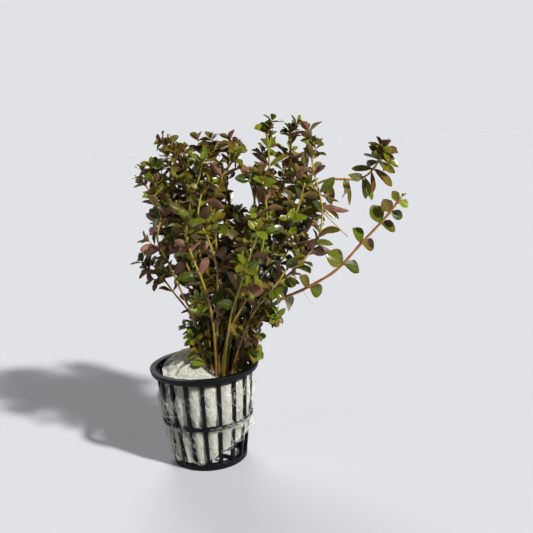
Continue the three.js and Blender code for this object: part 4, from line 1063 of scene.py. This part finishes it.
def growTwigs(foliage):
    least, crown, scale = [np.array([shoot.get(key, usual) for shoot in shoots.values()])
                           for key, usual in (("twigs", twig["least"]), ("crown", 0), ("twigScale", 1))]
    fields = foliage.placed(foliage.fields)
    owner = fields["shoot"].astype(int)
    fields = picked(fields, (spread(fields["seed"], 1) > least[owner]) | (fields["pair"] < crown[owner]))
    number, owner, foot = fields["seed"], fields["shoot"].astype(int), fields["base"]
    share = [(spread(number + 400, kind) + 1) / 2 for kind in range(4)]
    lean = np.radians(between(twig["lean"], share[0]))[:, None]
    heading = unit(fields["along"] * np.cos(lean) + fields["outward"] * np.sin(lean))
    size = between(twig["length"], share[1])[:, None] * scale[owner, None]
    end = foot + heading * size + fields["along"] * size * twig["rise"]
    steps = np.linspace(0, 1, len(twig["taper"]))[:, None]
    paths = foot[:, None] + (end - foot)[:, None] * steps
    paths = paths + (fields["outward"] * size)[:, None] * twig["bow"] * np.sin(np.pi * steps)
    level = unit(fields["cross"] - heading * np.sum(fields["cross"] * heading, -1, keepdims=True))
    leaves = []
    for position, degrees, portion, crosswise in twig["pairs"]:
        sideways = np.cross(heading, level) if crosswise else level
        for sign in (-1, 1):
            angle = np.radians(degrees + twig["fan"] * (share[2] - 0.5))[:, None]
            axis = unit(heading * np.cos(angle) + sign * sideways * np.sin(angle))
            normal = heading * np.sin(angle) - sign * sideways * np.cos(angle)
            vary = 1 + twig["vary"] * sign * spread(number, 4)
            length = between(twig["leafLength"], share[3]) * portion * vary
            leaves.append(blade(foot + (end - foot) * position, axis, normal, length,
                                length * twig["leafShare"], shoot=owner, seed=number + 7 * len(leaves)))
    leaflets = {key: np.concatenate([leaf[key] for leaf in leaves]) for key in leaves[0]}
    samples = bladePoints(leaflets, np.array([0.4, 0.7, 1.0]), 0.0)
    points = samples.reshape(-1, 3)
    hit = touchesBlade(foliage.placed(bladeKeys), points, twig["gap"]).any(0) | inGap(points)
    x, y = leaflets["base"][:, :2].T
    radius, room = twig["clear"]
    low = (samples[..., 2].min(1) < woolTop(x, y) + room) & (np.hypot(x, y) < radius)
    return paths, owner, picked(leaflets, ~hit.reshape(-1, 3).any(1) & ~low)


# the tip of each shoot: crossed pairs of small leaves, the inner ones closed round the bud
tipLook = {
    # distance below the tip, degrees from the stem, and size as a share of "length"
    "pairs": ((0.1, 26, 0.3), (0.8, 52, 0.49), (1.9, 68, 0.62), (3.2, 78, 0.64), (4.6, 70, 0.64)),
    "length": 9.5, "widthShare": 0.72,
    # how much single leaves differ: degrees round the stem and from it, radians of roll, share of length
    "around": 16, "lift": 9, "roll": 0.3, "vary": 0.25,
}


def growTip(line, shoot, k):
    look, leaves = tipLook, []
    for level, (below, lift, scale) in enumerate(look["pairs"][:shoot.get("tip", 3)]):
        for half in range(2):
            n = 900 + 10 * k + 2 * level + half
            azimuth = shoot["spin"] + 90 * level + 45 + 180 * half + look["around"] * spread(n, 2)
            lean = lift + look["lift"] * spread(n, 3)
            roll = look["roll"] * spread(n, 4)
            length = shoot.get("tipLeaf", look["length"]) * scale * (1 + look["vary"] * spread(n, 0))
            leaf = leafOn(line, {}, line.length - below, np.radians(azimuth), np.radians(lean), roll,
                          False, length, length * look["widthShare"])
            leaves.append({**leaf, "shoot": k, "seed": n})
    return leaves


# single leaves and a bare side stalk that stand out in the photograph: the shoot, distance below its tip,
# direction, length, width, and how rosy they are; a leaf of no width is the stalk
loneLeaves = (
    ("right_column", 30.5, (0.76, -0.2, -0.62), 9.6, 3.6, 0),
    ("right_column", 29.5, (0.9, -0.1, -0.4), 12.5, 3.2, 0.9),
    ("right_column", 25, (0.86, -0.3, -0.42), 9.5, 1.5, 0.6),
    ("right_column", 33, (0.66, -0.2, -0.72), 16, 0, 0),
    ("small_right", 34, (0.8, -0.55, 0.1), 9.5, 4.6, 0),
    ("small_right", 35.5, (0.45, -0.85, -0.25), 8, 4, 0),
    ("small_left", 28, (-0.6, -0.75, 0.25), 7.5, 4.4, 0),
    ("high_spray", 33, (0.25, -0.1, -0.95), 9.5, 3, 0.2),
    ("high_spray", 23.5, (0.02, -0.2, -0.97), 11.5, 2, 0.4),
    ("high_spray", 16, (0.3, -0.25, -0.92), 11, 3.2, 0),
    ("high_spray", 12, (0.08, -0.3, -0.95), 9.5, 2.6, 0.3),
)


def growLone(lines):
    names, leaves, stalks = list(shoots), [], []
    steps = np.linspace(0, 1, len(stalk["radii"]))[:, None]
    facing = np.array([0.15, -0.9, 0.4])
    for n, (name, below, direction, length, width, rosy) in enumerate(loneLeaves):
        k = names.index(name)
        base, axis = lines[k].at(lines[k].length - below), unit(np.array(direction))
        normal = unit(facing - axis * (facing @ axis)) * (-1 if rosy > 0.5 else 1)
        if width:
            leaves.append(blade(base, axis, normal, length, width, shoot=k, seed=5000 + n, back=rosy))
        else:
            stalks.append((k, base + axis * length * steps))
    return leaves, stalks


# every leaf of the plant as whole arrays, with the twigs and stalks that carry some of them
def growLeaves(lines):
    foliage = Foliage(lines)
    number = growPairs(foliage, lines, False)
    print("leaves of the solids:", foliage.count)
    growPairs(foliage, lines, True, number)
    print("leaves in pairs:", foliage.count)
    twigPaths, twigOwners, leaflets = growTwigs(foliage)
    tips = [leaf for k, shoot in enumerate(shoots.values()) for leaf in growTip(lines[k], shoot, k)]
    lone, stalks = growLone(lines)
    keys = (*bladeKeys, "shoot", "seed")
    single = {key: np.array([leaf[key] for leaf in tips + lone], float) for key in keys}
    paired = foliage.placed(keys)
    leaves = {key: np.concatenate([paired[key], leaflets[key], single[key]]) for key in keys}
    leaves["back"] = np.zeros(len(leaves["seed"]))
    leaves["back"][-len(lone):] = [leaf["back"] for leaf in lone]
    print("leaves in all:", len(leaves["seed"]))
    return leaves, twigPaths, twigOwners, stalks


# the bunch in x and in y: where its middle is and how far it reaches from there, each as its value at the
# lower of the two heights and what it gains in each millimetre above that
bunch = {"heights": (45, 135), "middle": ((9, 0.09), (4, -0.01)), "reach": ((9, 0.36), (9, 0.28))}


# how far out in the bunch a point is: 0 on its middle line, 1 at its outside
def outwardShare(points):
    low, high = bunch["heights"]
    above = np.clip(points[:, 2], low, high) - low
    shares = []
    for k, (middle, lean), (reach, gain) in zip((0, 1), bunch["middle"], bunch["reach"]):
        shares.append((points[:, k] - middle - lean * above) / (reach + gain * above))
    return np.clip(np.hypot(*shares), 0, 1)


# warmth, lightness and rosiness of leaves: their shoot's own, varied from leaf to leaf; young leaves are
# lighter;
# those inside the bunch darker, partly their own older colour and partly painted shade, and those in the
# middle of its height darker with painted shade
def toneLeaves(leaf, shoot):
    usual = dict(zip(("warm", "light", "rosy"), shootTones[shoot["colour"]]))
    warm, light, rosy = [shoot.get(key, value) for key, value in usual.items()]
    z, seed = leaf["base"][:, 2], leaf["seed"]
    young, inner = 1 - eased(leaf["length"], 2.5, 7), 1 - outwardShare(leaf["base"])
    shadedMiddle = eased(z, 130, 96) * eased(z, 54, 72)
    warm = warm + 0.32 * spread(seed, 2) - 0.1 * young + 0.1 * inner
    # lightness lowered inside the bunch (older colour with painted shade) and in the middle band (painted
    # shade)
    light = light + 0.34 * spread(seed, 1) + 0.26 * young - 0.4 * inner - 0.26 * shadedMiddle
    rosy = rosy - 0.1 + 0.55 * spread(seed, 5) - 0.35 * young + leaf["back"]
    return {**leaf, "warm": np.clip(warm, 0, 1), "light": np.clip(light, 0, 1), "rosy": np.clip(rosy, 0, 1)}


stem = {
    "step": 1.3, "sides": 10,  # millimetres between its rings, and points in each
    # its thickness as a share of the rule's, at its last ring too, and how far it swells round each node
    "scale": 0.95, "end": 0.7, "swell": 0.25, "nodeLength": 0.7,
    # waves in its thickness and warmth: how large, and radians in a millimetre
    "uneven": (0.07, 0.7), "warmWave": (0.12, 0.11),
    "warmVary": 0.22,  # from stem to stem
    "dark": 85,  # the stem grows lighter up to this distance from its foot; its darker foot is partly its own older colour and partly painted shade
}


# stem of a shoot: its radius narrows to the tip and swells at each node
def growStem(skin, line, shoot):
    s = np.linspace(0, line.length, int(line.length / stem["step"]))
    distances = pairDistances(line, shoot, shoot["pairs"] + leafing["morePairs"])
    node = np.exp(-((s[:, None] - distances[None]) / stem["nodeLength"]) ** 2).max(1)
    uneven, warmWave = [height * np.sin(s * rate + shoot["spin"])
                        for height, rate in (stem["uneven"], stem["warmWave"])]
    radius = leafing["footRadius"] + (leafing["tipRadius"] - leafing["footRadius"]) * s / line.length
    radius = shoot.get("stemScale", stem["scale"]) * radius * (1 + stem["swell"] * node) * (1 + uneven)
    radius[-1] *= stem["end"]
    warm = shootTones[shoot["colour"]][0] + stem["warmVary"] * spread(shoot["spin"] + len(s), 2)
    tone = np.zeros((1, len(s), 1, 4))
    tone[0, :, 0, 0] = np.clip(shoot.get("stemWarm", warm) + warmWave, 0, 1)
    # lightness along the stem: darker towards its foot, partly older colour and partly painted shade
    tone[0, :, 0, 1] = eased(s, 0, stem["dark"]) * 0.8 + 0.1
    tone[0, :, 0, 2] = node
    tone[0, :, 0, 3] = np.modf(shoot["spin"] * 0.618)[0]  # tells one stem's grain from another's
    threads(skin, line.at(s)[None], radius[None], stem["sides"], np.array([0, 1.0, 0]), tone, 1)


def buildShoots(lines, leafMaterial, stemMaterial):
    leaves, twigPaths, twigOwners, stalks = growLeaves(lines)
    for k, (name, shoot) in enumerate(shoots.items()):
        skin = Skin()
        leaf = toneLeaves(picked(leaves, leaves["shoot"] == k), shoot)
        small = leaf["length"] < foliageLook["leaflet"]
        for rows, some in (("rows", ~small), ("fewRows", small)):
            if some.any():
                growLeafSkins(skin, picked(leaf, some), rows, shoot.get("loose", 1))
        growStem(skin, lines[k], shoot)
        sticks = [(twigPaths[twigOwners == k], twig["radius"] * np.array(twig["taper"]), twig["tone"])]
        sticks += [(path[None], stalk["radii"], stalk["tone"]) for owner, path in stalks if owner == k]
        for paths, radii, tone in sticks:
            if len(paths):
                threads(skin, paths, radii, 6, np.array(twig["reference"]), tone, 1)
        piece = skin.build("leafy_" + name, [leafMaterial, stemMaterial])
        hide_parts("shoot_" + name)
        "shoot_" + shoot["colour"]
    print("shoots built:", len(shoots))


# fine roots that hang from the lower part of stems
roots = {
    "count": 16, "length": (5, 13), "radius": 0.1, "sway": 0.09, "sag": 0.18,
    "onSpray": (0.43, 0.44, 0.40, 0.52),  # where four start, as shares of the long spray's length
    "start": (0.22, 0.5), "drawn": 32,  # where the others may start, and how many places are drawn for them
    "heading": ((-0.4, -0.8, -1.0), (1.0, 0.2, -0.3)),  # the least and the most of its x, y and z
    "colour": (0.42, 0.34, 0.2), "shade": (0.2, 0.13, 0.07),
}


def buildRoots(lines, material):
    random = np.random.default_rng(5)
    names = list(shoots)
    steps = np.linspace(0, 1, 14)[:, None]
    hosts = random.integers(0, len(names), roots["count"] - len(roots["onSpray"]))
    starts = [("long_spray", share) for share in roots["onSpray"]]
    starts += [(names[k], share) for k, share in zip(hosts, random.uniform(*roots["start"], roots["drawn"]))]
    paths = []
    for name, share in starts:
        line = lines[names.index(name)]
        heading = unit(random.uniform(*roots["heading"]))
        size = random.uniform(*roots["length"])
        sway = unit(np.cross(heading, np.array([0.2, 1.0, 0.1])))
        wave = np.sin(steps * random.uniform(3, 7) + random.uniform(0, 6)) * size * roots["sway"] * steps
        path = line.at(line.length * share) + heading * size * steps + sway * wave
        paths.append(path - upward * roots["sag"] * size * steps**2)
    skin = Skin()
    radii = roots["radius"] * (1 - 0.75 * steps[:, 0])
    threads(skin, np.array(paths), radii, 5, np.array([0.3, 0.9, 0.2]), (0.6, 0.6, 0, 0.3))
    piece = skin.build("fine_roots", [material])
    print("roots built")


def rootSkin():
    paint = Paint("root", Specular_IOR_Level=0.4)
    grain = paint.noise(paint.place(), 1400.0, 3.0, 0.6)
    colour = paint.mix(grain.ramp(0.3, 0.7), roots["colour"], roots["shade"])
    return paint.finish(colour, grain * 0.3 + 0.4, grain, 0.00005)


buildPot(potPlastic())
buildWool(woolBody())
buildFibres(woolFibre())
lines = [Line(shoot["route"]) for shoot in shoots.values()]
buildShoots(lines, leafSkin(), stemSkin())
buildRoots(lines, rootSkin())

# Studio: a pale floor, a backdrop of the same tone all round, one strong lamp, two weak ones, and the sky
studio = {
    "floor": (0.506, 0.510, 0.532),
    "backdrop": (0.751, 0.7585, 0.787),
    "reach": 5.0,  # metres from the middle to the backdrop
    # each lamp's strength, direction towards it, and softness in degrees
    "lamps": {"sun": (5.5, (0.62, -0.56, 0.62), 4), "fill": (0.18, (-0.7, -0.5, 0.5), 40),
              "back": (1.6, (-0.1, 0.75, 0.7), 30)},
    "sky": 0.08, "skyColour": (0.97, 0.98, 1.0, 1),
}


# a stage surface: a profile of (radius, height) turned round the upright axis
def stageSurface(name, profile, material, sides=96):
    grid = polar(profile[:, :1], turns(sides), profile[:, 1:])
    rows = np.arange(len(profile) * sides).reshape(-1, sides)
    after = np.roll(rows, -1, axis=1)
    quads = np.stack([rows[:-1], rows[1:], after[1:], after[:-1]], -1).reshape(-1, 4)
    mesh = bpy.data.meshes.new(name)
    mesh.from_pydata(grid.reshape(-1, 3).tolist(), [], quads.tolist())
    mesh.shade_smooth()
    mesh.materials.append(material)
    stage = bpy.data.objects.new(name, mesh)
    bpy.context.scene.collection.objects.link(stage)
    return stage


def buildStage():
    reach = studio["reach"]
    paint = Paint("floor", Specular_IOR_Level=0.0)
    grain = paint.noise(paint.place(), 60.0, 4.0, 0.6)
    colour = paint.mix(grain * 0.3, studio["floor"], tuple(0.97 * c for c in studio["floor"]))
    near = np.linspace(0, 1, 16)[:, None] ** 2 * reach * 1.02
    stageSurface("floor", np.hstack([near + 1e-4, near * 0]), paint.finish(colour, 0.8, grain, 0.0001))
    # the backdrop is seen by the camera alone, so it takes no light from the object and gives it none
    paint = Paint("backdrop", Base_Color=(0, 0, 0, 1), Specular_IOR_Level=0.0,
                  Emission_Strength=1.0, Emission_Color=(*studio["backdrop"], 1))
    arc = np.linspace(-0.02, np.pi / 2 - 0.001, 40)[:, None]
    dome = stageSurface("backdrop", np.hstack([np.cos(arc), np.sin(arc)]) * reach, paint.material)
    dome.visible_diffuse = dome.visible_glossy = dome.visible_transmission = dome.visible_shadow = False


# a lamp or camera at a place, looking at a target and rolled about its own axis
def aimed(name, data, place, target, roll=0.0):
    back = unit(np.array(place) - np.array(target))
    right = unit(np.cross(upward, back))
    up = np.cross(back, right)
    matrix = np.eye(4)
    matrix[:3, 0] = np.cos(roll) * right + np.sin(roll) * up
    matrix[:3, 1] = np.cos(roll) * up - np.sin(roll) * right
    matrix[:3, 2], matrix[:3, 3] = back, place
    thing = bpy.data.objects.new(name, data)
    thing.matrix_world = Matrix(matrix.tolist())
    bpy.context.scene.collection.objects.link(thing)
    return thing


buildStage()
for name, (power, place, softness) in studio["lamps"].items():
    lamp = bpy.data.lights.new(name, "SUN")
    lamp.energy = power
    lamp.angle = np.radians(softness)
    aimed(name, lamp, place, (0, 0, 0))
world = bpy.data.worlds.new("sky")
world.use_nodes = True
background = world.node_tree.nodes["Background"]
background.inputs["Color"].default_value = studio["skyColour"]
background.inputs["Strength"].default_value = studio["sky"]
bpy.context.scene.world = world
bpy.context.scene.view_settings.view_transform = "Standard"

# camera fitted to the rim, hoop and base of the pot in the photograph: it looks down by some degrees
view = {"target": (0.0325, 0, 0.0927), "distance": 0.35, "down": 11.0, "roll": -3.4,
        "focus": 747.0, "image": 533, "sensor": 36}
lens = bpy.data.cameras.new("camera")
lens.sensor_width = view["sensor"]
lens.lens = view["focus"] * view["sensor"] / view["image"]  # focus and image are in pixels
lens.clip_start = 0.01
down = np.radians(view["down"])
back = np.array([0, -np.cos(down), np.sin(down)])
place = np.array(view["target"]) + back * view["distance"]
bpy.context.scene.camera = aimed("camera", lens, place, view["target"], np.radians(view["roll"]))
print("studio ready")
